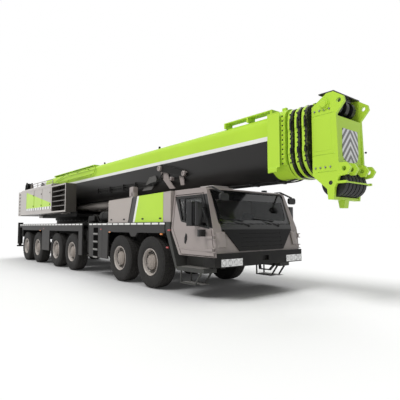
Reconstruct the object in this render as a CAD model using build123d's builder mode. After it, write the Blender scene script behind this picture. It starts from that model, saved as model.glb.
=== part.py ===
"""Six-axle all-terrain mobile crane with a telescopic boom, in travel position.

Millimetres. X points forwards, Y to the left and Z up. The origin lies on the ground
under the middle of the outline. Every sub-part is written to parts/NAME.step.
"""

import os
from math import atan2, cos, degrees, hypot, radians, sin

from build123d import *

os.makedirs("parts", exist_ok=True)

# ---------------------------------------------------------------- shared fits
pin_clearance = 0.1  # radial gap of a turning pin in its bore
slide_gap = 8  # gap on each side of a sliding beam or tube
joint_gap = 10  # gap between pieces that move apart
bore_overrun = 1  # how far a cutting tool runs past the face it leaves by
weld_overlap = 1  # how far a joined form sinks into the one that carries it
rod_clearance = 1  # radial gap of the ram rod in its barrel

# ---------------------------------------------------------------- width
overall_width = 3000  # over the tyres and the deck, without the mirrors
half_width = overall_width / 2

# ---------------------------------------------------------------- axle spacing
pair_spacing = 1650  # between the two axles of a pair
front_gap = 3700  # axle 2 to axle 3
rear_gap = 2350  # axle 4 to axle 5
rear_overhang = 1750  # axle 6 to the tail
slew_behind_axle_4 = 1350
pivot_behind_slew = 2650

# ---------------------------------------------------------------- boom lengths
boom_tail = 300  # behind the pivot
boom_base_length = 14700
collar_length = 310
ring_length = 120
ring_pitch = 170
ring_gap = ring_pitch - ring_length
head_length = 550
lower_pin_ahead = 100  # of the head's front plate
jib_lug_radius = 130

# ---------------------------------------------------------------- stations along X
pivot_to_axle_1 = 2 * pair_spacing + front_gap + slew_behind_axle_4 + pivot_behind_slew
boom_reach = (
    boom_base_length - boom_tail + collar_length + 3 * ring_pitch + ring_gap
    + head_length + lower_pin_ahead + jib_lug_radius
)
front_overhang = boom_reach - pivot_to_axle_1
overall_length = front_overhang + 3 * pair_spacing + front_gap + rear_gap + rear_overhang
tail_x = -overall_length / 2

axle_1_x = overall_length / 2 - front_overhang
axle_2_x = axle_1_x - pair_spacing
axle_3_x = axle_2_x - front_gap
axle_4_x = axle_3_x - pair_spacing
axle_5_x = axle_4_x - rear_gap
axle_6_x = axle_5_x - pair_spacing
slew_x = axle_4_x - slew_behind_axle_4
pivot_x = slew_x - pivot_behind_slew
boom_rear_x = pivot_x - boom_tail
boom_front_x = boom_rear_x + boom_base_length
collar_front_x = boom_front_x + collar_length
head_rear_x = collar_front_x + 3 * ring_pitch + ring_gap
head_front_x = head_rear_x + head_length

# (axle number, x, steered)
axles = [
    (1, axle_1_x, True),
    (2, axle_2_x, True),
    (3, axle_3_x, True),
    (4, axle_4_x, False),
    (5, axle_5_x, True),
    (6, axle_6_x, True),
]
# (side name, sign of Y)
sides = [("right", -1), ("left", 1)]

# ---------------------------------------------------------------- wheels and knuckles
tyre_radius = 670
tyre_width = 420
tread_half = 180
rim_radius = 318
rim_dish_depth = 120
hub_radius = 150
hub_length = 90
wheel_recess = 40  # of the inner face, round the knuckle
tyre_inset = 22  # tyre wall inside the deck's edge
wheel_centre_y = half_width - tyre_inset - tyre_width / 2
kingpin_y = half_width - 525
kingpin_radius = 45
knuckle_size = 150
knuckle_height = 270
knuckle_bevel = 35
arm_height = 62  # of the axle's two arms round the knuckle
spindle_radius = 70
spindle_reach = 300  # from the kingpin outwards
steering_arm_length = 260
steering_arm_width = 55
axle_beam_size = 150
bulb_radius = 220
bulb_length = 250
nose_radius = 95
nose_length = 170
shaft_radius = 50
yoke_thickness = 60
strut_radius = 62
strut_y = 580

# ---------------------------------------------------------------- chassis
rail_half_width = 430
rail_thickness = 110
rail_bottom_z = 960
rail_top_z = 1500
front_rail_bottom_z = 700
front_rail_top_z = 900
front_rail_drop_x = axle_1_x + 450
front_rail_end_x = axle_1_x + 2380
cross_member_length = 160
bracket_reach = 650
bracket_half_length = 110
bracket_thickness = 110

# ---------------------------------------------------------------- deck and skirts
deck_top_z = 1700
deck_thickness = 60
deck_front_x = axle_1_x + 710
deck_tail = 280  # from the tail to the deck's rear edge
edge_depth = 150
skirt_thickness = 45
skirt_bottom_z = 600
skirt_lean = 25  # how far a skirt's foot stands in from the wheel arch
arch_gap = 32  # from the tyre to the arch's upright edges
arch_headroom = 85  # from the tyre to the arch's head
arch_reach = tyre_radius + arch_gap
arch_top_z = 2 * tyre_radius + arch_headroom
tab_depth = 110  # of the fender tab between the front wheels
step_holes = 5
step_hole_width = 250
step_hole_height = 95
step_pitch = 180
pedestal_radius = 930
pedestal_height = 160

# ---------------------------------------------------------------- outriggers
beam_width = 250
beam_height = 340
beam_top_z = 1440
beam_stroke = 2150
beam_hold = 650  # of a beam left in its box at full reach
beam_length = beam_stroke + beam_hold
beam_pitch = 330  # between the right and the left beam of a pair
beam_inset = 30  # jack inside the deck's edge
box_wall = 30
jack_radius = 122
jack_bottom_z = 640
jack_top_z = 1790
jack_rod_radius = 75
foot_radius = 145
foot_height = 70
foot_drop = 60  # of the foot below the jack
front_beam_x = axle_2_x - 2225  # right-hand beam of the front pair
rear_beam_x = tail_x + 150  # right-hand beam of the rear pair

# ---------------------------------------------------------------- carrier cab
cab_rear_x = axle_1_x + 920
body_inset = 50  # cab and engine housing inside the deck's edge
body_half_width = half_width - body_inset
cab_roof_z = 2470
cab_floor_z = 930
cab_wall = 60
cab_lean = 110  # how far each side leans in at the roof
cab_corner_radius = 110
roof_edge_radius = 120
roof_front_x = axle_1_x + 2110
screen_base_x = axle_1_x + 2450
screen_base_z = 1560
cab_front_x = axle_1_x + 2560
cab_waist_z = 1500
cab_heel_length = 330  # the slope over the front wheels
roof_half_width = body_half_width - cab_lean
door_bottom_z = 960
door_top_z = 2330
door_gap = 20
door_rebate = 8  # between the door's inner face and the sill
hinge_pin_radius = 10
hinge_barrel_radius = 18
hinge_offset = 20  # of the hinge line outside the door's face
screen_side = 85  # windscreen edge inside the roof's edge
screen_margin_z = 75
screen_corner_radius = 60
glass_thickness = 12
grille_top_half = 1180
grille_bottom_half = 750
grille_top_z = 1525
grille_bottom_z = 1050
grille_thickness = 30
grille_grooves = 4
bumper_front_x = axle_1_x + 2650
bumper_bottom_z = 725
bumper_top_z = 1020
bumper_corner = 110
bumper_thickness = 110
tow_pocket_half = 110
tow_pocket_z = 820
tow_pocket_height = 110
lamp_inner_y = 760
lamp_outer_y = 1380
lamp_bottom_z = 745
lamp_top_z = 900
lamp_depth = 45

# ---------------------------------------------------------------- engine housing
housing_rear_x = axle_2_x - 790
housing_front_x = cab_rear_x - 20
housing_rear_z = 2390
housing_front_z = 2460
housing_wall = 25
panel_proud = 10
stack_top_z = 2550

# ---------------------------------------------------------------- superstructure
slew_gap = 8
ring_radius = 980
ring_height = 140
platform_thickness = 120
platform_ahead = 1300  # of the slewing axis
platform_behind = 450  # of the boom's pivot
ring_bottom_z = deck_top_z + pedestal_height + slew_gap
platform_bottom_z = ring_bottom_z + ring_height
platform_top_z = platform_bottom_z + platform_thickness
side_box_y = 640
side_box_inset = 30
side_box_outer_y = half_width - side_box_inset
side_box_bottom_z = platform_top_z + 22
side_box_height = 1250
side_box_top_z = side_box_bottom_z + side_box_height
side_box_front_x = slew_x + 650
side_box_rear_x = tail_x + 550
ladder_length = 1650
ladder_depth = 420
ladder_steps = 5
counterweight_slabs = 4
counterweight_height = 1210
slab_groove = 14
winch_x = tail_x + 300
winch_z = side_box_top_z + 250
drum_radius = 170
winch_shaft_radius = 60
flange_radius = 270
drum_half = 380
cheek_thickness = 40
crane_cab_rear_x = side_box_front_x + 250
crane_cab_length = 1700
crane_cab_front_x = crane_cab_rear_x + crane_cab_length
crane_cab_outer_y = side_box_outer_y - 30
crane_cab_bottom_z = platform_top_z - 68
crane_cab_height = 1680
crane_cab_top_z = crane_cab_bottom_z + crane_cab_height
crane_cab_wall = 50
crane_cab_slope = 260
crane_door_thickness = 36

# ---------------------------------------------------------------- boom section
boom_half = 540
boom_bottom_z = platform_top_z + 472
boom_height = 1380
boom_top_z = boom_bottom_z + boom_height
boom_plate = 14
boom_step = 42  # each section is smaller by this on every side
boom_shoulder = 200  # radius of the upper corners
boom_bilge = 430  # radius of the lower corners
collar_growth = 55
ring_growth = 25
saddle_bottom_z = boom_bottom_z + 250
tele_rear_x = pivot_x + 650
pivot_z = platform_top_z + 1172
pivot_pin_radius = 95
pivot_boss_radius = 260
boom_solid_length = 600
plate_gap = 20  # between the boom's side and the turntable's side plates
plate_y = boom_half + plate_gap
plate_thickness = 60

# ---------------------------------------------------------------- boom head
head_half = 480
head_plate = 60
upper_pin_x = head_front_x + 30
upper_pin_z = boom_bottom_z + 1320
lower_pin_x = head_front_x + lower_pin_ahead
lower_pin_z = boom_bottom_z + 40
jib_pin_radius = 45
inner_lug_y = 190
chin_pin_x = head_rear_x + 380
chin_pin_z = boom_bottom_z - 200
chin_pin_radius = 40
sheave_radius = 250
sheave_width = 100
sheave_count = 6
sheave_pitch = 132
guide_radius = 170
guide_count = 3
guide_pitch = 240
cheek_rise = 130  # of the cheeks' tops above the boom
bar_top_z = chin_pin_z - sheave_radius - joint_gap
bar_height = 50
foot_reach = 200  # of the landing foot below the bar's top
rope_bar_x = chin_pin_x + sheave_radius + 35

# ---------------------------------------------------------------- luffing ram
ram_foot_x = slew_x - 350
ram_foot_z = platform_top_z + 302
ram_eye_x = slew_x + 5500
ram_eye_z = boom_bottom_z - 165
ram_radius = 155
ram_head_radius = 160
ram_head_length = 260
ram_wall = 50
rod_radius = ram_radius - ram_wall
ram_eye_radius = 140
ram_eye_half_width = 110
ram_pin_radius = 60
ram_lug_thickness = 70
ram_barrel_length = 5250


# ---------------------------------------------------------------- helpers
def side_plane(y):
    """A sketch plane across the vehicle: local x is X, local y is Z, extruding to -Y."""
    return Plane(origin=(0, y, 0), x_dir=(1, 0, 0), z_dir=(0, -1, 0))


def section_plane(x):
    """A sketch plane along the vehicle: local x is Y, local y is Z, extruding to +X."""
    return Plane(origin=(x, 0, 0), x_dir=(0, 1, 0), z_dir=(1, 0, 0))


def block(x0, x1, y0, y1, z0, z1, mode=Mode.ADD):
    """A box between two corners, in the running part."""
    with Locations(((x0 + x1) / 2, (y0 + y1) / 2, (z0 + z1) / 2)):
        Box(abs(x1 - x0), abs(y1 - y0), abs(z1 - z0), mode=mode)


def side_prism(points, y_low, y_high, mode=Mode.ADD):
    """A side-view outline extruded between two Y values, in the running part."""
    with BuildSketch(side_plane(y_high)) as outline:
        with BuildLine():
            Polyline(*points, close=True)
        make_face()
    extrude(outline.sketch, amount=y_high - y_low, mode=mode)


def plan_prism(points, z_low, z_high, mode=Mode.ADD):
    """A plan outline extruded between two heights, in the running part."""
    with BuildSketch(Plane.XY.offset(z_low)) as outline:
        with BuildLine():
            Polyline(*points, close=True)
        make_face()
    extrude(outline.sketch, amount=z_high - z_low, mode=mode)


def cross_rod(x, z, radius, y_low, y_high, mode=Mode.ADD):
    """A round bar or bore along Y, in the running part."""
    with BuildSketch(side_plane(y_high)) as outline:
        with Locations((x, z)):
            Circle(radius)
    extrude(outline.sketch, amount=y_high - y_low, mode=mode)


def upright(x, y, radius, z_low, z_high, mode=Mode.ADD):
    """A round post or bore along Z, in the running part."""
    with BuildSketch(Plane.XY.offset(z_low)) as outline:
        with Locations((x, y)):
            Circle(radius)
    extrude(outline.sketch, amount=z_high - z_low, mode=mode)


def long_rod(x_low, x_high, y, z, radius):
    """A round bar along X, in the running part."""
    with BuildSketch(section_plane(x_low)) as outline:
        with Locations((y, z)):
            Circle(radius)
    extrude(outline.sketch, amount=x_high - x_low)


def across(side, inner, outer):
    """The two Y values of a span on one side, lower one first."""
    return sorted((side * inner, side * outer))


def save(part, name):
    """Label a finished part and write it as its own file."""
    part.label = name
    export_step(part, f"parts/{name}.step")


# ================================================================ running gear
def build_wheel(name, x, side):
    """Tyre, dished rim and planetary hub, turning on a spindle along Y."""
    face = wheel_centre_y + tyre_width / 2
    inner = wheel_centre_y - tyre_width / 2
    dish = face - rim_dish_depth
    bore_end = kingpin_y + spindle_reach + joint_gap
    with BuildPart() as wheel:
        with BuildSketch(Plane.XY):
            with BuildLine():
                Polyline(
                    (0, bore_end),
                    (spindle_radius + pin_clearance, bore_end),
                    (spindle_radius + pin_clearance, inner + wheel_recess),
                    (rim_radius, inner),
                    (tyre_radius, wheel_centre_y - tread_half),
                    (tyre_radius, wheel_centre_y + tread_half),
                    (rim_radius, face),
                    (hub_radius, dish),
                    (hub_radius, dish + hub_length),
                    (0, dish + hub_length),
                    close=True,
                )
            make_face()
        revolve(axis=Axis.Y)
    placed = wheel.part if side > 0 else mirror(wheel.part, about=Plane.XZ)
    save(Pos(x, 0, tyre_radius) * placed, name)


def build_knuckle(name, x, side):
    """Bevelled body bored for the kingpin, with its spindle and steering arm."""
    low = tyre_radius - knuckle_height / 2
    with BuildPart() as knuckle:
        with BuildSketch(Plane.XY.offset(low)) as body:
            with Locations((x, kingpin_y)):
                Rectangle(knuckle_size, knuckle_size)
            chamfer(body.vertices(), knuckle_bevel)
        extrude(amount=knuckle_height)
        cross_rod(
            x,
            tyre_radius,
            spindle_radius,
            kingpin_y + knuckle_size / 2 - weld_overlap,
            kingpin_y + spindle_reach,
        )
        block(
            x + knuckle_size / 2 - weld_overlap,
            x + knuckle_size / 2 + steering_arm_length,
            kingpin_y - steering_arm_width / 2,
            kingpin_y + steering_arm_width / 2,
            low,
            low + steering_arm_width,
        )
        upright(
            x,
            kingpin_y,
            kingpin_radius + pin_clearance,
            low - bore_overrun,
            low + knuckle_height + bore_overrun,
            mode=Mode.SUBTRACT,
        )
    placed = knuckle.part if side > 0 else mirror(knuckle.part, about=Plane.XZ)
    save(placed, name)


for number, x, steered in axles:
    for side_name, side in sides:
        build_wheel(f"wheel_{number}_{side_name}", x, side)
        if steered:
            build_knuckle(f"knuckle_{number}_{side_name}", x, side)

beam_end = kingpin_y - knuckle_size / 2 - 2 * slide_gap
yoke_inner = beam_end - yoke_thickness
arm_low = knuckle_height / 2 + slide_gap
arm_high = arm_low + arm_height
# (rear axle, front axle) of each propeller shaft
shafts = [(axle_2_x, axle_1_x), (axle_4_x, axle_3_x), (axle_5_x, axle_4_x), (axle_6_x, axle_5_x)]

with BuildPart() as axle_housings:
    for number, x, steered in axles:
        half_beam = axle_beam_size / 2
        block(
            x - half_beam,
            x + half_beam,
            -beam_end,
            beam_end,
            tyre_radius - half_beam,
            tyre_radius + half_beam,
        )
        long_rod(x - bulb_length / 2, x + bulb_length / 2, 0, tyre_radius, bulb_radius)
        with BuildSketch(section_plane(x + bulb_length / 2)) as nose_base:
            with Locations((0, tyre_radius)):
                Circle(bulb_radius)
        with BuildSketch(section_plane(x + bulb_length / 2 + nose_length)) as nose_tip:
            with Locations((0, tyre_radius)):
                Circle(nose_radius)
        loft([nose_base.sketch, nose_tip.sketch], ruled=True)
        for side_name, side in sides:
            upright(x, side * strut_y, strut_radius, tyre_radius, rail_top_z - bracket_thickness)
            block(
                x - half_beam,
                x + half_beam,
                side * yoke_inner,
                side * beam_end,
                tyre_radius - arm_high,
                tyre_radius + arm_high,
            )
            if steered:
                arm_plan = [
                    (x - half_beam, side * (beam_end - weld_overlap)),
                    (x + half_beam, side * (beam_end - weld_overlap)),
                    (x + half_beam, side * kingpin_y),
                    (x + half_beam / 2, side * (kingpin_y + half_beam)),
                    (x - half_beam / 2, side * (kingpin_y + half_beam)),
                    (x - half_beam, side * kingpin_y),
                ]
                plan_prism(arm_plan, tyre_radius + arm_low, tyre_radius + arm_high)
                plan_prism(arm_plan, tyre_radius - arm_high, tyre_radius - arm_low)
                upright(x, side * kingpin_y, kingpin_radius, tyre_radius - arm_high, tyre_radius + arm_high)
            else:
                cross_rod(
                    x,
                    tyre_radius,
                    spindle_radius,
                    *across(side, yoke_inner, kingpin_y + spindle_reach),
                )
    for rear_x, front_x in shafts:
        long_rod(rear_x, front_x, 0, tyre_radius, shaft_radius)
save(axle_housings.part, "axle_housings")

# ================================================================ chassis frame
slot_half = beam_width / 2 + slide_gap
# (row name, x of the right-hand beam, step from it to the left-hand beam, rear wall, front wall)
outrigger_rows = [
    ("front", front_beam_x, -beam_pitch, box_wall, box_wall),
    ("rear", rear_beam_x, beam_pitch, box_wall / 2, box_wall),
]
front_box_rear_x = front_beam_x - beam_pitch - slot_half - box_wall
front_box_front_x = front_beam_x + slot_half + box_wall
rear_box_rear_x = rear_beam_x - slot_half - box_wall / 2
rear_box_front_x = rear_beam_x + beam_pitch + slot_half + box_wall
box_top_z = beam_top_z + slide_gap + box_wall
box_bottom_z = beam_top_z - beam_height - slide_gap - box_wall
rail_inner_y = rail_half_width - rail_thickness
frame_members = [front_box_front_x + 700, axle_4_x - rear_gap / 2, axle_6_x + pair_spacing / 2]

with BuildPart() as chassis_frame:
    for side_name, side in sides:
        rail = (side * rail_inner_y, side * rail_half_width)
        block(rear_box_front_x, front_box_rear_x, *rail, rail_bottom_z, rail_top_z)
        rail_outline = [
            (front_box_front_x, rail_bottom_z),
            (front_rail_drop_x - 300, rail_bottom_z),
            (front_rail_drop_x - 100, front_rail_bottom_z),
            (front_rail_end_x, front_rail_bottom_z),
            (front_rail_end_x, front_rail_top_z),
            (front_rail_drop_x + 200, front_rail_top_z),
            (front_rail_drop_x, rail_top_z),
            (front_box_front_x, rail_top_z),
        ]
        side_prism(rail_outline, *sorted(rail))
        for number, x, steered in axles:
            block(
                x - bracket_half_length,
                x + bracket_half_length,
                side * rail_inner_y,
                side * bracket_reach,
                rail_top_z - bracket_thickness,
                rail_top_z,
            )
    for x in frame_members:
        block(
            x - cross_member_length / 2,
            x + cross_member_length / 2,
            -rail_half_width,
            rail_half_width,
            rail_bottom_z,
            rail_top_z,
        )
    block(
        rear_box_front_x,
        front_box_rear_x,
        -rail_half_width,
        rail_half_width,
        rail_top_z - 40,
        rail_top_z,
    )
    block(
        front_rail_end_x - cross_member_length,
        front_rail_end_x,
        -rail_half_width,
        rail_half_width,
        front_rail_bottom_z,
        front_rail_top_z,
    )
save(chassis_frame.part, "chassis_frame")

engine_rear_x = axle_2_x - 300
engine_front_x = axle_1_x - 700
engine_half_width = 290
with BuildPart() as engine_block:
    block(
        engine_rear_x,
        engine_front_x,
        -engine_half_width,
        engine_half_width,
        rail_bottom_z + 80,
        housing_rear_z - 240,
    )
save(engine_block.part, "engine_block")

# ================================================================ outriggers
beam_outer_y = half_width - beam_inset
jack_y = beam_outer_y - jack_radius
box_half_width = beam_outer_y - 2 * jack_radius - beam_inset

with BuildPart() as outrigger_boxes:
    for row_name, right_x, left_step, rear_wall, front_wall in outrigger_rows:
        low_x, high_x = sorted((right_x, right_x + left_step))
        block(
            low_x - slot_half - rear_wall,
            high_x + slot_half + front_wall,
            -box_half_width,
            box_half_width,
            box_bottom_z,
            box_top_z,
        )
        for beam_x in (low_x, high_x):
            block(
                beam_x - slot_half,
                beam_x + slot_half,
                -box_half_width - bore_overrun,
                box_half_width + bore_overrun,
                box_bottom_z + box_wall,
                box_top_z - box_wall,
                mode=Mode.SUBTRACT,
            )
save(outrigger_boxes.part, "outrigger_boxes")

for row_name, right_x, left_step, rear_wall, front_wall in outrigger_rows:
    for side_name, side, x in (("right", -1, right_x), ("left", 1, right_x + left_step)):
        with BuildPart() as beam:
            block(
                x - beam_width / 2,
                x + beam_width / 2,
                side * (beam_outer_y - beam_length),
                side * jack_y,
                beam_top_z - beam_height,
                beam_top_z,
            )
            upright(x, side * jack_y, jack_radius, jack_bottom_z + foot_height, jack_top_z)
            upright(
                x,
                side * jack_y,
                jack_rod_radius + pin_clearance,
                jack_bottom_z,
                jack_top_z - foot_drop,
                mode=Mode.SUBTRACT,
            )
        save(beam.part, f"outrigger_beam_{row_name}_{side_name}")
        foot_z = jack_bottom_z - foot_drop
        with BuildPart() as jack:
            with BuildSketch(Plane.XY.offset(foot_z)):
                with Locations((x, side * jack_y)):
                    RegularPolygon(foot_radius, 8, major_radius=False)
            extrude(amount=foot_height)
            upright(
                x,
                side * jack_y,
                jack_rod_radius,
                foot_z + foot_height,
                jack_top_z - foot_drop - joint_gap,
            )
        save(jack.part, f"outrigger_jack_{row_name}_{side_name}")

# ================================================================ deck and skirts
deck_rear_x = tail_x + deck_tail
front_slot_rear_x = front_beam_x - beam_pitch - jack_radius - joint_gap
front_slot_front_x = front_beam_x + jack_radius + joint_gap
step_x = axle_2_x - arch_reach - 620
# skirts between the wheels: (rear foot, front foot, rear head, front head)
skirts = [
    (
        axle_5_x + arch_reach + skirt_lean,
        axle_4_x - arch_reach - skirt_lean,
        axle_5_x + arch_reach,
        axle_4_x - arch_reach,
    ),
    (axle_3_x + arch_reach + skirt_lean, front_slot_rear_x, axle_3_x + arch_reach, front_slot_rear_x),
    (
        front_slot_front_x,
        axle_2_x - arch_reach - skirt_lean,
        front_slot_front_x,
        axle_2_x - arch_reach,
    ),
]
# bands over the wheels: (rear x, front x, x of the tab between the two wheels)
bands = [
    (axle_6_x - arch_reach, axle_5_x + arch_reach, None),
    (axle_4_x - arch_reach, axle_3_x + arch_reach, None),
    (axle_2_x - arch_reach, deck_front_x, (axle_1_x + axle_2_x) / 2),
]

with BuildPart() as carrier_deck:
    block(deck_rear_x, deck_front_x, -half_width, half_width, deck_top_z - deck_thickness, deck_top_z)
    for side_name, side in sides:
        skirt_y = across(side, half_width - skirt_thickness, half_width)
        block(deck_rear_x + deck_thickness, deck_front_x, *skirt_y, deck_top_z - edge_depth, deck_top_z)
        for band_rear, band_front, tab_x in bands:
            block(band_rear, band_front, *skirt_y, arch_top_z, deck_top_z)
            if tab_x is not None:
                tab = [
                    (tab_x - 2 * tab_depth, arch_top_z),
                    (tab_x - tab_depth, arch_top_z - tab_depth),
                    (tab_x + tab_depth, arch_top_z - tab_depth),
                    (tab_x + 2 * tab_depth, arch_top_z),
                ]
                side_prism(tab, *skirt_y)
        for rear_foot, front_foot, rear_head, front_head in skirts:
            outline = [
                (rear_foot, skirt_bottom_z),
                (front_foot, skirt_bottom_z),
                (front_head, arch_top_z),
                (front_head, deck_top_z),
                (rear_head, deck_top_z),
                (rear_head, arch_top_z),
            ]
            side_prism(outline, *skirt_y)
        for index in range(step_holes):
            hole_z = skirt_bottom_z + step_pitch * (index + 0.5)
            block(
                step_x - step_hole_width / 2,
                step_x + step_hole_width / 2,
                *skirt_y,
                hole_z,
                hole_z + step_hole_height,
                mode=Mode.SUBTRACT,
            )
        slot_y = across(side, box_half_width - bore_overrun, half_width + bore_overrun)
        slot_z = (skirt_bottom_z - joint_gap, deck_top_z + bore_overrun)
        block(front_slot_rear_x, front_slot_front_x, *slot_y, *slot_z, mode=Mode.SUBTRACT)
        block(
            deck_rear_x - bore_overrun,
            rear_beam_x + beam_pitch + jack_radius + joint_gap,
            *slot_y,
            *slot_z,
            mode=Mode.SUBTRACT,
        )
    upright(slew_x, 0, pedestal_radius, rail_top_z, deck_top_z + pedestal_height)
    block(
        engine_rear_x - 50,
        engine_front_x + 50,
        -engine_half_width - 60,
        engine_half_width + 60,
        rail_bottom_z,
        deck_top_z + bore_overrun,
        mode=Mode.SUBTRACT,
    )
save(carrier_deck.part, "carrier_deck")

# ================================================================ engine housing
housing_base_half = body_half_width - panel_proud
lime_panel_rear_x = axle_1_x - 540
lime_panel_front_x = axle_1_x + 570
grey_panel_front_x = axle_1_x - 950
stack_x = axle_1_x - 1015
panel_slant = 270  # how far the slanted edges lean over the housing's height
panel_drop = 30  # of the panels' heads below the housing's top


def housing_top(x):
    """Height of the housing's sloping top at one station."""
    share = (x - housing_rear_x) / (housing_front_x - housing_rear_x)
    return housing_rear_z + share * (housing_front_z - housing_rear_z)


def housing_panel(rear_x, front_x, rear_slant, front_slant):
    """Side view of a raised panel, its feet set back by the slants."""
    return [
        (rear_x - rear_slant, deck_top_z),
        (front_x - front_slant, deck_top_z),
        (front_x, housing_top(front_x) - panel_drop),
        (rear_x, housing_top(rear_x) - panel_drop),
    ]


housing_panels = [
    housing_panel(housing_rear_x, grey_panel_front_x, 0, panel_slant),
    housing_panel(lime_panel_rear_x, lime_panel_front_x, panel_slant, 0),
    housing_panel(lime_panel_front_x + joint_gap, housing_front_x, 0, 0),
]

with BuildPart() as engine_housing:
    outline = [
        (housing_rear_x, deck_top_z),
        (housing_front_x, deck_top_z),
        (housing_front_x, housing_front_z),
        (housing_rear_x, housing_rear_z),
    ]
    side_prism(outline, -housing_base_half, housing_base_half)
    cavity = [
        (housing_rear_x + housing_wall, deck_top_z - bore_overrun),
        (housing_front_x - housing_wall, deck_top_z - bore_overrun),
        (housing_front_x - housing_wall, housing_front_z - housing_wall),
        (housing_rear_x + housing_wall, housing_rear_z - housing_wall),
    ]
    side_prism(
        cavity,
        -housing_base_half + housing_wall,
        housing_base_half - housing_wall,
        mode=Mode.SUBTRACT,
    )
    for side_name, side in sides:
        for panel in housing_panels:
            side_prism(panel, *across(side, housing_base_half - weld_overlap, body_half_width))
    with BuildSketch(Plane.XY.offset(housing_rear_z)):
        with Locations((stack_x, -body_half_width + 90)):
            RectangleRounded(150, 150, 40)
    extrude(amount=stack_top_z - housing_rear_z)
save(engine_housing.part, "engine_housing")


# ================================================================ carrier cab
def cab_volume(inset):
    """The cab's outer form pulled in by inset on every side, as a solid."""
    with BuildPart() as volume:
        with BuildSketch(side_plane(body_half_width)) as profile:
            with BuildLine():
                Polyline(
                    (cab_rear_x + cab_heel_length, cab_floor_z),
                    (cab_rear_x, cab_waist_z),
                    (cab_rear_x, cab_roof_z),
                    (roof_front_x, cab_roof_z),
                    (screen_base_x, screen_base_z),
                    (cab_front_x, cab_floor_z),
                    close=True,
                )
            make_face()
            if inset:
                offset(amount=-inset, kind=Kind.INTERSECTION, mode=Mode.REPLACE)
            roof_front = profile.vertices().group_by(Axis.Y)[-1].sort_by(Axis.X)[-1]
            fillet(roof_front, roof_edge_radius - inset)
        extrude(amount=2 * body_half_width)
        with BuildSketch(section_plane(cab_rear_x - bore_overrun)):
            cab_section(inset)
        extrude(amount=cab_front_x - cab_rear_x + 2 * bore_overrun, mode=Mode.INTERSECT)
        with BuildSketch(Plane.XY.offset(cab_floor_z - bore_overrun)) as plan:
            with Locations(((cab_rear_x + cab_front_x) / 2, 0)):
                Rectangle(cab_front_x - cab_rear_x - 2 * inset, 2 * (body_half_width - inset))
            fillet(plan.vertices().group_by(Axis.X)[-1], cab_corner_radius - inset)
        extrude(amount=cab_roof_z - cab_floor_z + 2 * bore_overrun, mode=Mode.INTERSECT)
    return volume.part


def cab_section(inset):
    """Cross-section of the cab, upright below the waist and leaning in above it."""
    with BuildLine() as edge:
        Polyline(
            (-body_half_width, cab_floor_z),
            (-body_half_width, cab_waist_z),
            (-roof_half_width, cab_roof_z),
            (roof_half_width, cab_roof_z),
            (body_half_width, cab_waist_z),
            (body_half_width, cab_floor_z),
            close=True,
        )
    make_face(edge.edges())
    if inset:
        offset(amount=-inset, kind=Kind.INTERSECTION, mode=Mode.REPLACE)


def cab_core(inset):
    """Everything between the side walls, past both ends of the cab, as a solid."""
    with BuildPart() as core:
        with BuildSketch(section_plane(cab_rear_x - 100)) as tall:
            with BuildLine():
                half = body_half_width - inset
                lean = cab_lean / (cab_roof_z - cab_waist_z)
                Polyline(
                    (-half, 0),
                    (-half, cab_waist_z),
                    (-half + lean * 2 * cab_waist_z, 3 * cab_waist_z),
                    (half - lean * 2 * cab_waist_z, 3 * cab_waist_z),
                    (half, cab_waist_z),
                    (half, 0),
                    close=True,
                )
            make_face()
        extrude(tall.sketch, amount=cab_front_x - cab_rear_x + 200)
    return core.part


door_rear_x = cab_rear_x + 80
door_heel_x = cab_rear_x + 420
door_head_front_x = roof_front_x - 90
door_belt_front_x = screen_base_x - 60
door_foot_front_x = screen_base_x + 30
door_heel_z = cab_waist_z + 60
hinge_x = door_foot_front_x + 2
hinge_y = body_half_width + hinge_offset
hinge_heights = [1060, 1330]  # foot of each hinge barrel
hinge_height = 60
ear_height = 20
ear_length = 60
ear_gap = 4
ear_outer_y = hinge_y + hinge_pin_radius
leaf_y = body_half_width + 4  # inner face of the hinge leaves, clear of the cab's side
mirror_x = roof_front_x + 40
mirror_inner_y = half_width + 5
mirror_outer_y = half_width + 185
mirror_low_z = 1620
mirror_high_z = 2110
kerb_mirror_y = half_width + 50
kerb_mirror_z = 1450


def door_outline(gap):
    """The door's side view, grown by gap."""
    return [
        (door_heel_x - gap, door_bottom_z - gap),
        (door_rear_x - gap, door_heel_z),
        (door_rear_x - gap, door_top_z + gap),
        (door_head_front_x + gap, door_top_z + gap),
        (door_belt_front_x + gap, cab_waist_z),
        (door_foot_front_x + gap, door_bottom_z - gap),
    ]


def door_window():
    """The side window's outline, inside the door's frame."""
    return [
        (door_rear_x + 95, door_top_z - 75),
        (door_head_front_x - 60, door_top_z - 70),
        (door_belt_front_x - 90, cab_waist_z + 65),
        (door_rear_x + 330, cab_waist_z + 225),
    ]


def screen_opening():
    """The windscreen's outline, on the running sketch."""
    low_z = screen_base_z + screen_margin_z
    high_z = cab_roof_z - screen_margin_z
    with Locations((0, (low_z + high_z) / 2)):
        RectangleRounded(2 * (roof_half_width - screen_side), high_z - low_z, screen_corner_radius)


def face_x(z):
    """Station of the cab's front below the windscreen, at one height."""
    share = (screen_base_z - z) / (screen_base_z - cab_floor_z)
    return screen_base_x + share * (cab_front_x - screen_base_x)


def doorway(side):
    """The opening that a door fills: the cab's skin only, not the floor behind it."""
    with BuildPart() as cut:
        side_prism(door_outline(door_gap), *across(side, 1000, half_width))
        add(cab_core(cab_wall), mode=Mode.SUBTRACT)
    return cut.part


cab_outer = cab_volume(0)
cab_inner = cab_volume(cab_wall)
door_core = cab_core(cab_wall - door_rebate)
doorways = [doorway(side) for side_name, side in sides]

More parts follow.
